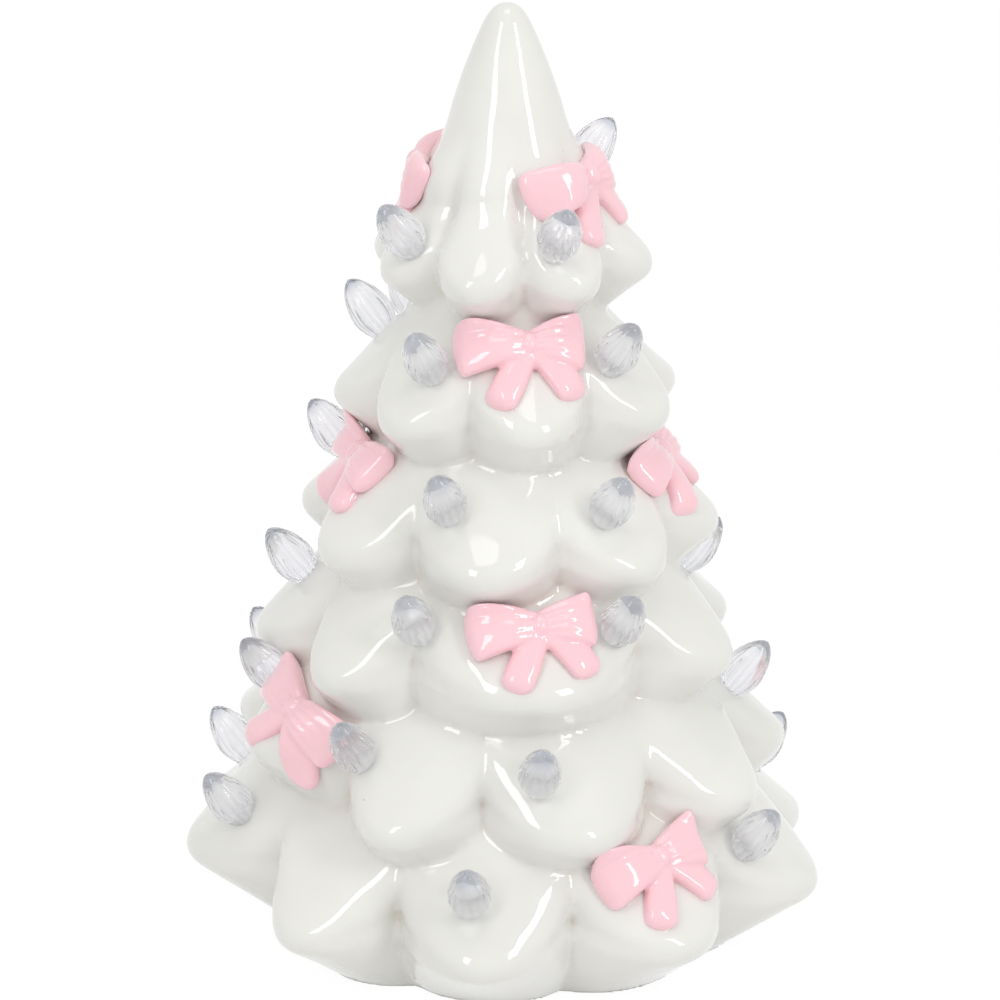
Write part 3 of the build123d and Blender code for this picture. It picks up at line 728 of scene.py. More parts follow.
@dataclass
class CastForm:
    """Form of the casting: six tiers of boughs round a core with a bullet-shaped spire, and its hollow.

    A face or underside is its end slope in degrees and its length. A pair for grooves or lobes is first for
    below the boughs' noses and then for above them.
    """

    tree_height: float = 230.0 * MM
    low_reach: float = 80.0 * MM
    top_reach: float = 34.5 * MM
    nose_radius: float = 4.5 * MM
    face_slope: float = 43.0
    face: Span = (50.0, 45.0 * MM)
    top_face: Span = (60.0, 50.0 * MM)
    underside: Span = (42.0, 27.0 * MM)
    foot_underside: Span = (34.0, 34.0 * MM)
    top_underside: Span = (38.0, 18.0 * MM)
    groove_share: float = 0.23
    top_groove_share: float = 0.25
    groove_rise: float = 5.5 * MM
    groove_rise_fades: Span = (8.0 * MM, 14.0 * MM)
    groove_shares: Span = (0.25, 0.1)
    groove_fades: Span = (9.0 * MM, 9.5 * MM)
    groove_fade_power: float = 1.5
    lobe_power: float = 1.75
    lobe_powers: Span = (0.3, 0.9)
    lobe_power_fade: float = 12.0 * MM
    level_end: float = 6.5 * MM
    axis_gap: float = 2.0 * MM
    core_radii: Span = (50.0 * MM, 18.5 * MM)
    neck_height: float = 190.0 * MM
    spire_radius: float = 14.4 * MM
    spire_height_shares: tuple[float, ...] = (0.874, 0.915, 0.946, 0.967, 0.987, 0.9975, 1.0)
    spire_radius_shares: tuple[float, ...] = (1, 0.8, 0.621, 0.486, 0.329, 0.175, 0)
    tip_share: float = 0.004
    hollow_radii: tuple[float, ...] = (43.5 * MM, 43.5 * MM, 40.0 * MM, 40.0 * MM, 15.0 * MM)
    hollow_heights: tuple[float, ...] = (-15.0 * MM, 3.65 * MM, 3.7 * MM, 30.0 * MM, 181.0 * MM)
    around: int = 360
    stations: int = 90

    def _profile(self, index: int) -> tuple[np.ndarray, np.ndarray, np.ndarray]:
        """Inset from the nose, rise above it and nearness to an end, along underside, nose and face."""
        last = len(TIERS) - 1
        undersides = {0: self.foot_underside, last: self.top_underside}
        under_slope, under_length = undersides.get(index, self.underside)
        end_slope, length = self.top_face if index == last else self.face
        under, face, end = np.radians([under_slope, self.face_slope, end_slope])
        arc = self.nose_radius * (math.pi - under - face)
        whole = under_length + arc + length
        along = np.linspace(0, whole, self.stations)
        bends = [0, under_length, under_length + arc, whole]
        turn = np.interp(along, bends, [math.pi - under, math.pi - under, face, end])
        middle, step = (turn[1:] + turn[:-1]) / 2, np.diff(along)
        inset = self.nose_radius * (1 - math.sin(under)) + under_length * math.cos(under)
        rise = -self.nose_radius * math.cos(under) - under_length * math.sin(under)
        insets = inset + np.append(0, np.cumsum(np.cos(middle) * step))
        rises = rise + np.append(0, np.cumsum(np.sin(middle) * step))
        grooved = self._reach(index) * (1 - self.top_groove_share * self.groove_shares[1])
        kept = insets < grooved - self.axis_gap
        level = np.clip(np.minimum(along, along[kept].max() - along) / self.level_end, 0, 1)
        return insets[kept], rises[kept], level[kept]

    def _reach(self, index: int) -> float:
        """Reach of one tier's noses from the tree's axis."""
        return self.low_reach + (self.top_reach - self.low_reach) * index / (len(TIERS) - 1)

    def _tier(self, index: int) -> bpy.types.Mesh:
        """One tier of boughs.

        Args:
            index: its number from the foot.

        Returns:
            A closed mesh.
        """
        tier, reach = TIERS[index], self._reach(index)
        inset, rise, level = (column[:, None] for column in self._profile(index))
        creases = np.array([*tier.creases, tier.creases[0] + FULL_TURN])
        azimuth = creases[0] + np.linspace(0, FULL_TURN, self.around, endpoint=False)
        place = np.searchsorted(creases, azimuth, "right") - 1
        turn = 2 * (azimuth - creases[place]) / (creases[place + 1] - creases[place]) - 1
        other = (place + np.where(turn > 0, 1, -1)) % len(tier.creases)
        blend = turn ** 2 / 2
        reaches, rises = (np.array(row)[place] * (1 - blend) + np.array(row)[other] * blend
                          for row in (tier.reaches, tier.rises))
        side = (rise > 0).astype(int)
        share, fade = np.array(self.groove_shares)[side], np.array(self.groove_fades)[side]
        groove = share + (1 - share) * np.exp(-(np.abs(rise) / fade) ** self.groove_fade_power)
        deep = groove * reach * (self.top_groove_share if index == len(TIERS) - 1 else self.groove_share)
        away = 1 - np.exp(-(rise / self.lobe_power_fade) ** 2)
        blunt = self.lobe_power + np.array(self.lobe_powers)[side] * away
        lift = self.groove_rise * np.exp(-(rise / np.array(self.groove_rise_fades)[side]) ** 2)
        pitch = (TIERS[-1].height - TIERS[0].height) / (len(TIERS) - 1)
        radius = reach * reaches - inset - deep * np.abs(turn) ** blunt
        height = tier.height + rise + level * (rises * pitch + lift * turn ** 2)
        way = np.radians(azimuth)
        return grid_mesh("tier", np.stack([radius * np.sin(way), -radius * np.cos(way), height], 2))

    def _turned(self, radii: np.ndarray, heights: np.ndarray) -> bpy.types.Mesh:
        """Closed mesh turned about the tree's axis."""
        way = np.linspace(0, 2 * math.pi, self.around, endpoint=False)
        rings = np.stack([radii[:, None] * np.sin(way), -radii[:, None] * np.cos(way),
                          np.repeat(heights[:, None], self.around, 1)], 2)
        return grid_mesh("turned", rings)

    def _core(self) -> bpy.types.Mesh:
        """Plain core with the spire."""
        below = np.sqrt(1 - np.array(self.spire_height_shares[::-1]))
        depth = np.linspace(below[-1], self.tip_share, self.stations)
        spire = self.spire_radius * np.interp(depth, below, self.spire_radius_shares[::-1])
        heights = np.concatenate([[0, self.neck_height], self.tree_height * (1 - depth ** 2)])
        return self._turned(np.concatenate([self.core_radii, spire]), heights)

    def mesh(self, voxel: float) -> bpy.types.Mesh:
        """The hollow casting under one skin.

        Args:
            voxel: size of its faces.

        Returns:
            A closed mesh with an open foot.
        """
        parts = [self._core()] + [self._tier(index) for index in range(len(TIERS))]
        solid = add_object("solid", reskin(joined_mesh(parts), voxel))
        hollow = self._turned(np.array(self.hollow_radii), np.array(self.hollow_heights))
        cutter = add_object("hollow", hollow)
        cut = solid.modifiers.new("hollow", "BOOLEAN")
        cut.operation, cut.solver, cut.object = "DIFFERENCE", "MANIFOLD", cutter
        graph = bpy.context.evaluated_depsgraph_get()
        made = bpy.data.meshes.new_from_object(solid.evaluated_get(graph))
        for piece in (solid, cutter):
            bpy.data.objects.remove(piece)
        made.materials.clear()
        made.polygons.foreach_set("material_index", [0] * len(made.polygons))
        return made


@dataclass
class TreeCasting:
    """The white hollow casting, with rounded creases and the slight waves of a poured glaze."""

    voxel: float = 0.8 * MM
    fillet_rounds: int = 3
    neck_low: float = 183.0 * MM
    neck_full: float = 189.0 * MM
    neck_high: float = 206.0 * MM
    neck_rounds: int = 60
    bulb_clear: float = 8.0 * MM
    petal_fill: float = 2.4 * MM
    petal_fill_height: float = 188.0 * MM
    petal_cut: float = 1.7 * MM
    petal_cut_height: float = 180.0 * MM
    petal_reach: float = 8.0 * MM
    petal_edge: float = 0.55
    petal_edge_power: float = 1.5
    petal_low: float = 171.0 * MM
    petal_rounds: int = 8
    crease_rounds: int = 40
    crease_depth: float = 2.2 * MM
    wave_height: float = 0.16 * MM
    wave_lengths: tuple[float, ...] = (34.0 * MM, 22.0 * MM, 15.0 * MM, 11.0 * MM)
    waves_each: int = 4
    seed: int = 7
    foot_height: float = 0.4 * MM

    def build(self) -> bpy.types.Object:
        """Make the casting.

        Returns:
            The new piece.
        """
        mesh = CastForm().mesh(self.voxel)
        mesh.name = "tree_casting"
        skin = Skin(mesh)
        skin.points[:, 2] = np.maximum(skin.points[:, 2], 0.0)
        low = skin.points[:, 2].min()
        skin.settle(self.fillet_rounds)
        self._run_in(skin)
        skin.write()
        skin.points += skin.normals() * self._waves(skin.points)[:, None]
        skin.points[:, 2] = np.maximum(skin.points[:, 2], 0.0)
        foot = skin.points[:, 2] < low + self.foot_height
        skin.points[foot, 2] = 0.0
        skin.write()
        # the crease depth is the mask of the painted shade in the white glaze
        depth = skin.hollow(self.crease_rounds)
        skin.store("crease", np.clip(depth / self.crease_depth, 0.0, 1.0))
        shade_smooth(mesh)
        return add_object("tree_casting", mesh)

    def _run_in(self, skin: Skin) -> None:
        """Let the spire run into long petals of the top tier, away from the bulbs' holes."""
        height = skin.points[:, 2]
        clear = np.ones(len(height))
        bulbs = PegBulbs()
        for node in bulb_nodes():
            seat = np.array(bulbs.seat(node).translation)
            away = np.linalg.norm(skin.points - seat, axis=1) / self.bulb_clear
            clear *= np.clip(2 * away - 1, 0, 1)
        rise = self.neck_full - self.neck_low
        above = np.clip((height - self.neck_low) / rise, 0, 1)
        below = np.clip((self.neck_high - height) / rise, 0, 1)
        skin.settle(self.neck_rounds, clear * above * below)
        skin.write()
        normals = skin.normals()
        radial = skin.points[:, :2] / np.maximum(np.linalg.norm(skin.points[:, :2], axis=1), MM)[:, None]
        outside = np.einsum("ij,ij->i", normals[:, :2], radial) > 0
        clear *= outside * np.clip((height - self.petal_low) / self.petal_reach, 0, 1)
        fill = self.petal_fill * np.exp(-((height - self.petal_fill_height) / self.petal_reach) ** 2)
        cut = self.petal_cut * np.exp(-((height - self.petal_cut_height) / self.petal_reach) ** 2)
        across = self._across(skin.points)
        edge = np.clip((across - self.petal_edge) / (1 - self.petal_edge), 0, 1)
        swell = fill * (1 - across ** 2) - cut * edge ** self.petal_edge_power
        skin.points += normals * (clear * swell)[:, None]
        near = clear * np.clip((self.neck_high - height) / rise, 0, 1)
        skin.settle(self.petal_rounds, near)

    def _across(self, points: np.ndarray) -> np.ndarray:
        """Place across the petals of the top tier: zero along their middles, one in their creases."""
        azimuth = np.degrees(np.arctan2(points[:, 0], -points[:, 1]))
        top = TIERS[-1].creases
        creases = np.array([top[-1] - FULL_TURN, *top])
        azimuth = np.where(azimuth < creases[0], azimuth + FULL_TURN, azimuth)
        left = np.clip(np.searchsorted(creases, azimuth, "right") - 1, 0, len(creases) - 2)
        share = (azimuth - creases[left]) / (creases[left + 1] - creases[left])
        return np.abs(2 * share - 1)

    def _waves(self, points: np.ndarray) -> np.ndarray:
        """Height of the glaze's waves at each point.

        Args:
            points: places on the surface.

        Returns:
            Heights about zero, in metres.
        """
        draw = np.random.default_rng(self.seed)
        height = np.zeros(len(points))
        for length in self.wave_lengths:
            for _ in range(self.waves_each):
                way = draw.normal(size=3)
                way *= 2 * math.pi / (length * np.linalg.norm(way))
                height += np.sin(points @ way + draw.uniform(0, 2 * math.pi)) * length
        return height * self.wave_height / (sum(self.wave_lengths) * math.sqrt(self.waves_each / 2))

    def dress(self, piece: bpy.types.Object) -> None:
        """Glaze the casting."""
        piece.data.materials.append(WhiteGlaze().material())
        claim(piece, "tree_body")


@dataclass
class PegBulbs:
    """Clear ribbed bulbs with hollow pegs."""

    length: float = 15.3 * MM
    radius: float = 5.2 * MM
    base_radius: float = 3.4 * MM
    widest_share: float = 0.36
    peg_radius: float = 2.25 * MM
    peg_length: float = 9.0 * MM
    sink: float = 0.6 * MM
    bore_radius: float = 1.5 * MM
    bore_reach: float = -2.5 * MM
    ribs: int = 16
    steps_each: int = 6
    groove_share: float = 0.095
    groove_end: float = 0.85
    groove_power: float = 0.6
    taper_powers: Span = (1.7, 0.62)
    point_radius: float = 0.02 * MM
    rings: int = 36
    dome_rings: int = 5

    def _outline(self) -> tuple[np.ndarray, np.ndarray, np.ndarray]:
        """Radius, height and groove depth from the tip, down the outside and up the bore."""
        share = np.linspace(1.0, 0.0, self.rings)
        upper = np.clip((share - self.widest_share) / (1 - self.widest_share), 0, 1)
        lower = np.clip(share / self.widest_share, 0, 1)
        taper = (1 - upper ** self.taper_powers[0]) ** self.taper_powers[1]
        flare = self.base_radius + (self.radius - self.base_radius) * np.sin(math.pi / 2 * lower)
        radius = np.where(share > self.widest_share, self.radius * taper, flare)
        groove = self.groove_share * np.clip(1 - share / self.groove_end, 0, 1) ** self.groove_power
        radius[0] = self.point_radius
        dome = np.linspace(0, math.pi / 2, self.dome_rings)
        bore_r = self.bore_radius * np.cos(dome)
        bore_r[-1] = self.point_radius
        bore_z = self.bore_reach + self.bore_radius * np.sin(dome)
        radii = np.concatenate([radius, [self.peg_radius] * 2, [self.bore_radius], bore_r])
        heights = np.concatenate([share * self.length, [0.0, -self.peg_length], [-self.peg_length], bore_z])
        grooves = np.concatenate([groove, np.zeros(len(radii) - len(groove))])
        return radii, heights, grooves

    def mesh(self) -> bpy.types.Mesh:
        """One bulb, its seat at the origin and its tip along +Z."""
        radii, heights, grooves = self._outline()
        around = self.ribs * self.steps_each
        turn = np.linspace(0, 2 * math.pi, around, endpoint=False)
        valley = 1 - np.abs(np.cos(self.ribs * turn / 2))
        reach = radii[:, None] * (1 - grooves[:, None] * valley[None, :])
        rings = np.stack([reach * np.cos(-turn), reach * np.sin(-turn),
                          np.repeat(heights[:, None], around, 1)], 2)
        made = grid_mesh("peg_bulb", rings)
        skin = Skin(made)
        # tip and groove are masks of the clear plastic's painted shade
        skin.store("tip", np.clip(skin.points[:, 2] / self.length, 0, 1))
        marks = (grooves[:, None] * valley[None, :]).ravel() / self.groove_share
        skin.store("groove", np.append(marks, [0.0, 0.0]))
        shade_smooth(made)
        return made

    def seat(self, node: str) -> Matrix:
        """Place of a packed bulb.

        Args:
            node: its node.

        Returns:
            Matrix that takes the plain bulb there.
        """
        points = np.array([v.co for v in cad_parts[node].data.vertices])
        centre = points.mean(0)
        _, _, ways = np.linalg.svd(points - centre, full_matrices=False)
        axis = ways[0] * (1 if ways[0][2] > 0 else -1)
        tip = centre + axis * ((points - centre) @ axis).max()
        turn = Vector(axis).to_track_quat("Z", "Y").to_matrix().to_4x4()
        return Matrix.Translation(Vector(tip - axis * self.length)) @ turn

    def build(self, casting: bpy.types.Object) -> list[bpy.types.Object]:
        """Set one bulb in each packed bulb's place, slid along its peg on to the glaze.

        Args:
            casting: the tree that carries them.

        Returns:
            The bulbs.
        """
        tree = BVHTree.FromObject(casting, bpy.context.evaluated_depsgraph_get())
        shared = self.mesh()
        shared.materials.append(ClearPlastic().material())
        pieces = []
        for node in bulb_nodes():
            piece = add_object(f"clear_{node}", shared)
            place = self.seat(node)
            axis = place.to_3x3() @ Vector((0, 0, 1))
            hit = tree.ray_cast(place.translation + axis * 2 * self.length, -axis)[0]
            slide = (hit - place.translation).dot(axis) - self.sink
            log.info("%s slides %.1f mm", node, slide / MM)
            piece.matrix_world = Matrix.Translation(axis * slide) @ place
            claim(piece, node)
            pieces.append(piece)
        return pieces


@dataclass(frozen=True)
class BowPlace:
    """Where a bow is pressed on: azimuth from the front, height, lean and roll, with angles in degrees."""

    azimuth: float
    height: float
    lean: float
    roll: float


BOW_PLACES = (
    BowPlace(-105, 189.5 * MM, 22, -8),
    BowPlace(63, 189.5 * MM, 22, 3),
    BowPlace(10, 153.3 * MM, 40, 1),
    BowPlace(-70, 122.0 * MM, 36, -5),
    BowPlace(80, 120.8 * MM, 36, 5),
    BowPlace(9, 90.5 * MM, 38, 6),
    BowPlace(-56, 64.4 * MM, 36, -16),
    BowPlace(33, 34.5 * MM, 42, 12),
    BowPlace(-173, 153.0 * MM, 40, -6),
    BowPlace(-173, 90.5 * MM, 38, 10),
    BowPlace(128, 60.0 * MM, 40, -14),
    BowPlace(-145, 34.5 * MM, 42, 8),
)


@dataclass
class ClayBows:
    """Pink bows: two folded loops, a knot and two tails, laid over the boughs while soft.

    A pair for loops is first for the right one, and a pair for tails first for the left one, where it isn't a
    start and a change along the strip.
    """

    loop_lengths: Span = (13.9 * MM, 17.6 * MM)
    loop_turns: Span = (2.0, 176.0)
    loop_root: float = 3.4 * MM
    loop_half: float = 7.1 * MM
    loop_thick: float = 2.8 * MM
    loop_fullness: Span = (0.85, 0.25)
    loop_sag: float = 0.6 * MM
    loop_crown: float = 0.8 * MM
    loop_flare_power: float = 0.8
    loop_end_shares: Span = (0.84, 0.82)
    right_folds: tuple[float, ...] = (0.62, 0.2, -0.22, -0.62)
    left_folds: tuple[float, ...] = (0.42, -0.3)
    fold_depths: Span = (0.75 * MM, 0.55 * MM)
    fold_ends: Span = (0.86, 0.5)
    fold_width: float = 0.12
    fold_fade_power: float = 0.5
    tail_lengths: Span = (17.4 * MM, 16.8 * MM)
    tail_half: float = 4.0 * MM
    tail_thick: float = 2.5 * MM
    tail_turns: Span = (-120.0, -40.0)
    tail_bends: Span = (0.08, 0.5)
    tail_drops: Span = (-0.4 * MM, 0.6 * MM)
    tail_widths: Span = (0.78, 0.22)
    tail_full_share: float = 0.6
    tail_end_share: float = 0.8
    end_power: float = 2.6
    end_least: float = 0.0004
    knot_half: tuple[float, float, float] = (2.3 * MM, 3.0 * MM, 2.6 * MM)
    knot_blunt: float = 2.4
    knot_tilt: float = math.pi / 2 * 0.98
    knot_lift: float = 0.9 * MM
    lift: float = 1.6 * MM
    voxel: float = 0.36 * MM
    fillet_rounds: int = 3
    around: int = 96
    stations: int = 40
    blunt: float = 2.6
    drape_reach: float = 26.0 * MM
    drape_cells: int = 27
    drape_edge: float = 1.001
    drape_blur: int = 3
    drape_share: float = 0.85
    drape_limit: float = 9.0 * MM
    crease_rounds: int = 14
    crease_depth: float = 0.35 * MM

    def _strip(self, spine: np.ndarray, half: np.ndarray, thick: np.ndarray, folds: Iterable[float],
               fold_depth: np.ndarray) -> bpy.types.Mesh:
        """Flat strip of clay along a spine in its own plane.

        Args:
            spine: points of its middle line.
            half: half width at each point.
            thick: half thickness at each point.
            folds: places of its grooves across the width, from -1 to 1.
            fold_depth: depth of the grooves at each point.

        Returns:
            The strip's mesh.
        """
        way = np.gradient(spine, axis=0)
        way /= np.linalg.norm(way, axis=1)[:, None]
        side = np.stack([-way[:, 1], way[:, 0], np.zeros(len(way))], 1)
        turn = np.linspace(0, 2 * math.pi, self.around, endpoint=False)
        power = 2 / self.blunt
        across = np.sign(np.cos(turn)) * np.abs(np.cos(turn)) ** power
        above = np.sign(np.sin(turn)) * np.abs(np.sin(turn)) ** power
        dents = (np.exp(-((across - fold) / self.fold_width) ** 2) for fold in folds)
        groove = sum(dents, np.zeros(self.around)) * np.clip(above, 0, 1)
        rise = thick[:, None] * above[None, :] - fold_depth[:, None] * groove[None, :]
        rings = (spine[:, None, :] + side[:, None, :] * (half[:, None] * across[None, :])[:, :, None]
                 + np.array([0, 0, 1.0]) * rise[:, :, None])
        return grid_mesh("bow_strip", rings[:, ::-1])

    def _rounded(self, share: np.ndarray, start: float) -> np.ndarray:
        """Narrowing that rounds off a strip's end from this share of its length on."""
        late = np.clip((share - start) / (1 - start), 0, 1)
        return np.sqrt(np.clip(1 - late ** self.end_power, self.end_least, 1))

    def _loop(self, side: int) -> bpy.types.Mesh:
        """One loop that flares from the knot.

        Args:
            side: 0 for the right loop, 1 for the left.

        Returns:
            The loop's mesh.
        """
        share = np.linspace(0, 1, self.stations)
        angle = math.radians(self.loop_turns[side])
        along = self.loop_lengths[side] * share
        arch = np.sin(math.pi * share)
        spine = np.stack([along * math.cos(angle), along * math.sin(angle) - self.loop_sag * share ** 2,
                          self.loop_crown * arch], 1)
        width_end, thick_end = (self._rounded(share, start) for start in self.loop_end_shares)
        flare = share ** self.loop_flare_power
        half = (self.loop_root + (self.loop_half - self.loop_root) * flare) * width_end
        thick = self.loop_thick * (self.loop_fullness[0] + self.loop_fullness[1] * arch) * thick_end
        fading = np.clip(1 - share / self.fold_ends[side], 0, 1) ** self.fold_fade_power
        places = self.left_folds if side else self.right_folds
        return self._strip(spine, half, thick, places, self.fold_depths[side] * fading)

    def _tail(self, side: int) -> bpy.types.Mesh:
        """One ribbon end.

        Args:
            side: 0 for the left tail, 1 for the right.

        Returns:
            The tail's mesh.
        """
        share = np.linspace(0, 1, self.stations)
        angle = math.radians(self.tail_turns[side]) - self.tail_bends[side] * share
        step = self.tail_lengths[side] / (self.stations - 1)
        spine = np.stack([np.cumsum(np.cos(angle)) * step, np.cumsum(np.sin(angle)) * step,
                          self.tail_drops[0] - self.tail_drops[1] * share], 1)
        end = self._rounded(share, self.tail_end_share)
        widening = np.clip(share / self.tail_full_share, 0, 1)
        half = self.tail_half * (self.tail_widths[0] + self.tail_widths[1] * widening) * end
        return self._strip(spine, half, self.tail_thick * end, (), np.zeros(self.stations))

    def _knot(self) -> bpy.types.Mesh:
        """Pillow of clay that wraps the middle."""
        turn = np.linspace(0, 2 * math.pi, self.around, endpoint=False)
        tilt = np.linspace(-self.knot_tilt, self.knot_tilt, self.stations)
        ring = np.cos(tilt) ** (2 / self.knot_blunt)
        half = self.knot_half
        rings = np.stack([half[0] * ring[:, None] * np.cos(turn)[None, :],
                          half[1] * ring[:, None] * np.sin(turn)[None, :],
                          np.repeat((half[2] * np.sin(tilt))[:, None], self.around, 1) + self.knot_lift], 2)
        return grid_mesh("bow_knot", rings)

    def plain(self) -> bpy.types.Mesh:
        """The bow as it leaves the mould, flat, facing +Z."""
        parts = [self._loop(0), self._loop(1), self._tail(0), self._tail(1), self._knot()]
        return reskin(joined_mesh(parts), self.voxel)

    def _pose(self, place: BowPlace, tree: BVHTree) -> Matrix:
        """Frame of a bow on the glaze.

        Args:
            place: where it is pressed on.
            tree: the casting's surface.

        Returns:
            Matrix from the bow's plane to the tree.
        """
        turn, lean = math.radians(place.azimuth), math.radians(place.lean)
        out = Vector((math.sin(turn), -math.cos(turn), 0.0))
        start = out * (cad_box[1] - cad_box[0]).length + Vector((0, 0, place.height))
        seat = tree.ray_cast(start, -out)[0]
        facing = out * math.cos(lean) + Vector((0, 0, math.sin(lean)))
        across = Vector((math.cos(turn), math.sin(turn), 0.0))
        up = facing.cross(across)
        axes = Matrix((across, up, facing)).transposed().to_4x4()
        return Matrix.Translation(seat) @ axes @ Matrix.Rotation(math.radians(place.roll), 4, "Z")

    def _ground(self, pose: Matrix, tree: BVHTree) -> np.ndarray:
        """Height of the glaze under a bow, blurred, on a square grid in the bow's plane."""
        reach = self.drape_reach
        grid = np.linspace(-reach, reach, self.drape_cells)
        facing = (pose.to_3x3() @ Vector((0, 0, 1))).normalized()
        back = pose.inverted()
        ground = np.empty((self.drape_cells, self.drape_cells))
        for row, v in enumerate(grid):
            for column, u in enumerate(grid):
                hit = tree.ray_cast(pose @ Vector((u, v, reach)), -facing, 3 * reach)[0]
                ground[row, column] = (back @ hit).z if hit else -self.drape_limit
        ground = np.clip(ground, -self.drape_limit, self.drape_limit)
        for _ in range(self.drape_blur):
            wide = np.pad(ground, 1, mode="edge")
            ground = (wide[:-2, 1:-1] + wide[2:, 1:-1] + wide[1:-1, :-2] + wide[1:-1, 2:] + 2 * ground) / 6
        return ground

    def _drape(self, points: np.ndarray, ground: np.ndarray) -> np.ndarray:
        """Lift of each point of the flat bow on to the ground under it.

        Args:
            points: points in the bow's plane.
            ground: heights on the grid.

        Returns:
            Lifts, in metres.
        """
        cell = (points[:, :2] + self.drape_reach) / (2 * self.drape_reach) * (self.drape_cells - 1)
        cell = np.clip(cell, 0, self.drape_cells - self.drape_edge)
        left, part = cell.astype(int), cell - cell.astype(int)
        u, v = left.T
        a, b = part.T
        low = ground[v, u] * (1 - a) + ground[v, u + 1] * a
        high = ground[v + 1, u] * (1 - a) + ground[v + 1, u + 1] * a
        return (low * (1 - b) + high * b) * self.drape_share

    def build(self, casting: bpy.types.Object) -> list[bpy.types.Object]:
        """Press the bows on to the casting.

        Args:
            casting: the tree that carries them.

        Returns:
            The bows.
        """
        graph = bpy.context.evaluated_depsgraph_get()
        tree = BVHTree.FromObject(casting, graph)
        flat = self.plain()
        glaze = PinkGlaze().material()
        pieces = []
        for number, place in enumerate(BOW_PLACES, start=1):
            mesh = flat.copy()
            mesh.name = f"pink_bow_{number:02d}"
            skin = Skin(mesh)
            skin.settle(self.fillet_rounds)
            skin.write()
            depth = skin.hollow(self.crease_rounds)
            pose = self._pose(place, tree)
            skin.points[:, 2] += self.lift + self._drape(skin.points, self._ground(pose, tree))
            matrix = np.array(pose)
            skin.points = skin.points @ matrix[:3, :3].T + matrix[:3, 3]
            skin.write()
            # crease depth masks the pink glaze's pooling and painted shade, ridge masks its painted highlight
            skin.store("crease", np.clip(depth / self.crease_depth, 0, 1))
            skin.store("ridge", np.clip(-depth / self.crease_depth, 0, 1))
            shade_smooth(mesh)
            mesh.materials.append(glaze)
            piece = add_object(mesh.name, mesh)
            claim(piece, f"bow_{number:02d}")
            pieces.append(piece)
        return pieces


@dataclass
class LightUnit:
    """The battery light in the foot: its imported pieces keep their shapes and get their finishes."""

    white: MouldedPlastic = MouldedPlastic("white_plastic", (0.80, 0.80, 0.77), (0.76, 0.76, 0.74))
    black: MouldedPlastic = MouldedPlastic("black_plastic", (0.025, 0.025, 0.027), (0.04, 0.04, 0.042))
    red: MouldedPlastic = MouldedPlastic("red_insulation", (0.50, 0.02, 0.02), (0.42, 0.02, 0.02), 0.35)
    sleeve: MouldedPlastic = MouldedPlastic("black_insulation", (0.02,) * 3, (0.035,) * 3, 0.35)
    contact: BrushedMetal = BrushedMetal("contact_metal", (0.78, 0.77, 0.74))
    steel: BrushedMetal = BrushedMetal("screw_steel", (0.62, 0.62, 0.62))

    def dress(self) -> None:
        """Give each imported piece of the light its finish."""
        white = self.white.material()
        black = self.black.material()
        contact = self.contact.material()
        finishes = {
            "light_base": white, "battery_door": white, "aaa_cells": CellJacket().material(),
            "positive_contacts": contact, "negative_contacts": contact, "switch_body": black,
            "switch_slider": black, "led_board": BoardLaminate().material(), "led": LampEpoxy().material(),
            "board_screws": self.steel.material(), "red_lead": self.red.material(),
            "black_leads": self.sleeve.material(),
        }
        for node, material in finishes.items():
            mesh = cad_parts[node].data
            mesh.materials.clear()
            mesh.materials.append(material)
            log.info("%s keeps its packed shape with %s", node, material.name)


@dataclass(frozen=True)
class SoftBox:
    """One soft box: where it hangs, its width and height, and its power in watts."""

    name: str
    place: tuple[float, float, float]
    size: Span
    watts: float

    def hang(self, aim: Vector) -> None:
        """Hang it so that it faces a point."""
        data = bpy.data.lights.new(self.name, "AREA")
        data.shape = "RECTANGLE"
        data.size, data.size_y = self.size
        data.energy = self.watts
        lamp = bpy.data.objects.new(self.name, data)
        lamp.location = self.place
        lamp.rotation_euler = (aim - Vector(self.place)).to_track_quat("-Z", "Y").to_euler()
        bpy.context.scene.collection.objects.link(lamp)


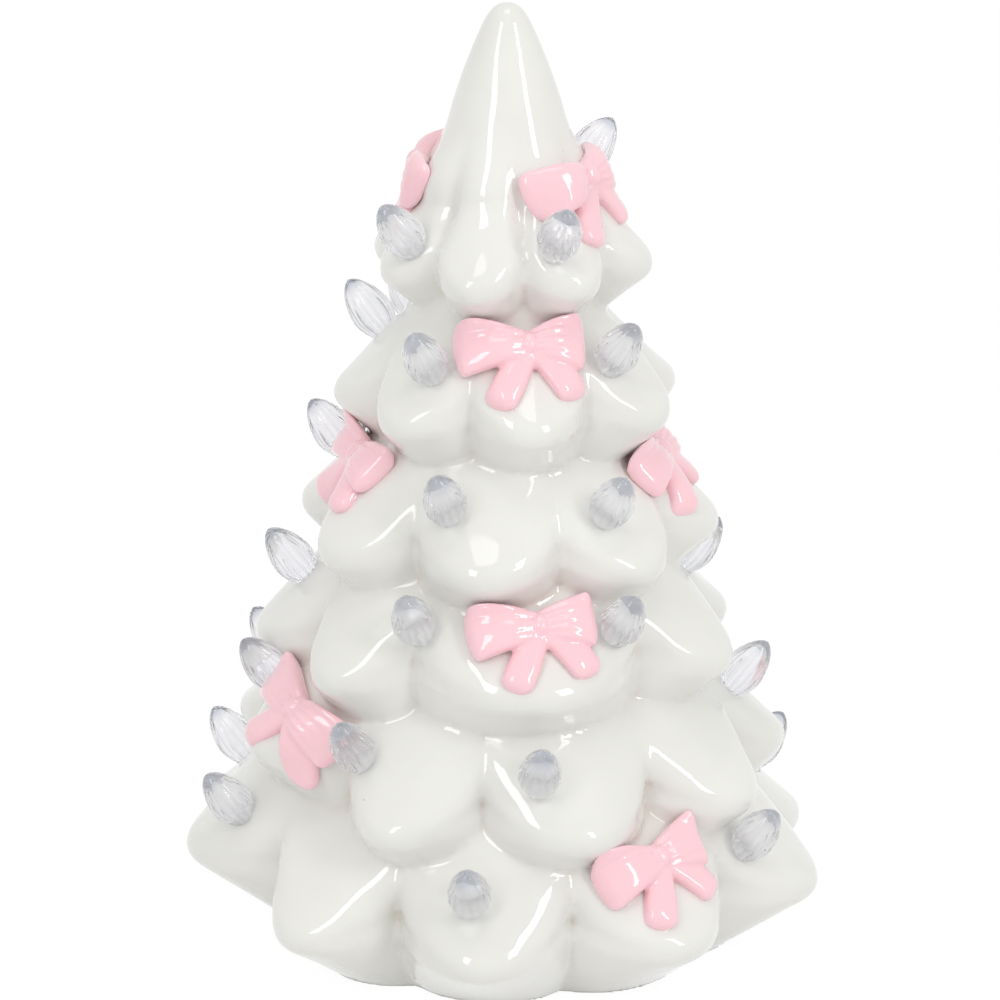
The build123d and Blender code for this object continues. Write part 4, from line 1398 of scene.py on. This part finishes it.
@dataclass
class Studio:
    """Pale floor, soft boxes, white surroundings and the camera."""

    distance: float = 1075.0 * MM
    elevation: float = 18.0
    target_height: float = 107.02 * MM
    lens: float = 158.95
    sensor: float = 36.0
    axis_pixel: float = 507.0
    image_pixels: float = 1000.0
    floor_size: float = 6.0
    floor_gap: float = 0.2 * MM
    floor_colour: Colour = (0.9, 0.9, 0.9)
    floor_glow: float = 0.9
    floor_light: float = 1.05
    ambient: float = 0.715
    gloss_light: float = 0.8
    boxes: tuple[SoftBox, ...] = (
        SoftBox("left_box", (-0.7, -1.1, 1.05), (0.3, 0.9), 3.3),
        SoftBox("right_box", (0.9, -0.9, 0.9), (0.22, 0.8), 4.1),
        SoftBox("top_box", (0.0, -0.2, 1.5), (0.7, 0.5), 1.7),
    )

    def camera(self) -> None:
        """Stand the camera where the picture was taken from."""
        lift = math.radians(self.elevation)
        data = bpy.data.cameras.new("camera")
        data.lens = self.lens
        data.sensor_width = self.sensor
        data.shift_x = (self.image_pixels / 2 - self.axis_pixel) / self.image_pixels
        eye = bpy.data.objects.new("camera", data)
        rise = self.target_height + self.distance * math.sin(lift)
        eye.location = (0, -self.distance * math.cos(lift), rise)
        eye.rotation_euler = (math.pi / 2 - lift, 0, 0)
        bpy.context.scene.collection.objects.link(eye)
        bpy.context.scene.camera = eye

    def _seen(self, g: Graph) -> Port:
        """How much of the background a ray shows: all for camera and glass rays, most for gloss."""
        path = g.node("ShaderNodeLightPath", output="Is Camera Ray")
        gloss = g.node("ShaderNodeLightPath", output="Is Glossy Ray")
        glass = g.node("ShaderNodeLightPath", output="Is Transmission Ray")
        return path.highest(gloss * self.gloss_light).highest(glass)

    def floor(self) -> None:
        """Lay the pale floor."""
        half, low = self.floor_size / 2, -self.floor_gap
        corners = [(-half, -half, low), (half, -half, low), (half, half, low), (-half, half, low)]
        mesh = bpy.data.meshes.new("floor")
        mesh.from_pydata(corners, [], [(0, 1, 2, 3)])
        material, g = new_material("pale_floor")
        matt = g.node("ShaderNodeBsdfDiffuse", {}, {"Color": (*self.floor_colour, 1.0)})
        glow = g.node("ShaderNodeEmission", {}, {"Color": (1, 1, 1, 1), "Strength": self.floor_light})
        both = g.node("ShaderNodeMixShader", {}, {0: self._seen(g) * self.floor_glow, 1: matt, 2: glow})
        g.node("ShaderNodeOutputMaterial", {}, {"Surface": both})
        mesh.materials.append(material)
        add_object("floor", mesh)

    def world(self) -> None:
        """White surroundings for the eye, gloss and glass, and softer light for the rest."""
        world = bpy.data.worlds.new("studio")
        world.use_nodes = True
        g = Graph(world.node_tree)
        strength = self.ambient + self._seen(g) * (1 - self.ambient)
        light = g.node("ShaderNodeBackground", {}, {"Color": (1, 1, 1, 1), "Strength": strength})
        g.node("ShaderNodeOutputWorld", {}, {"Surface": light})
        bpy.context.scene.world = world

    def build(self) -> None:
        """Set up everything round the tree."""
        scene = bpy.context.scene
        scene.view_settings.view_transform = "Standard"
        self.camera()
        self.floor()
        self.world()
        for box in self.boxes:
            box.hang(Vector((0, 0, self.target_height)))
        log.info("studio is set")


def main() -> None:
    """Build the tree's pieces in order."""
    logging.basicConfig(level=logging.INFO, format="%(message)s")
    casting = TreeCasting()
    body = casting.build()
    casting.dress(body)
    ClayBows().build(body)
    PegBulbs().build(body)
    LightUnit().dress()
    Studio().build()


if __name__ == "__main__":
    main()
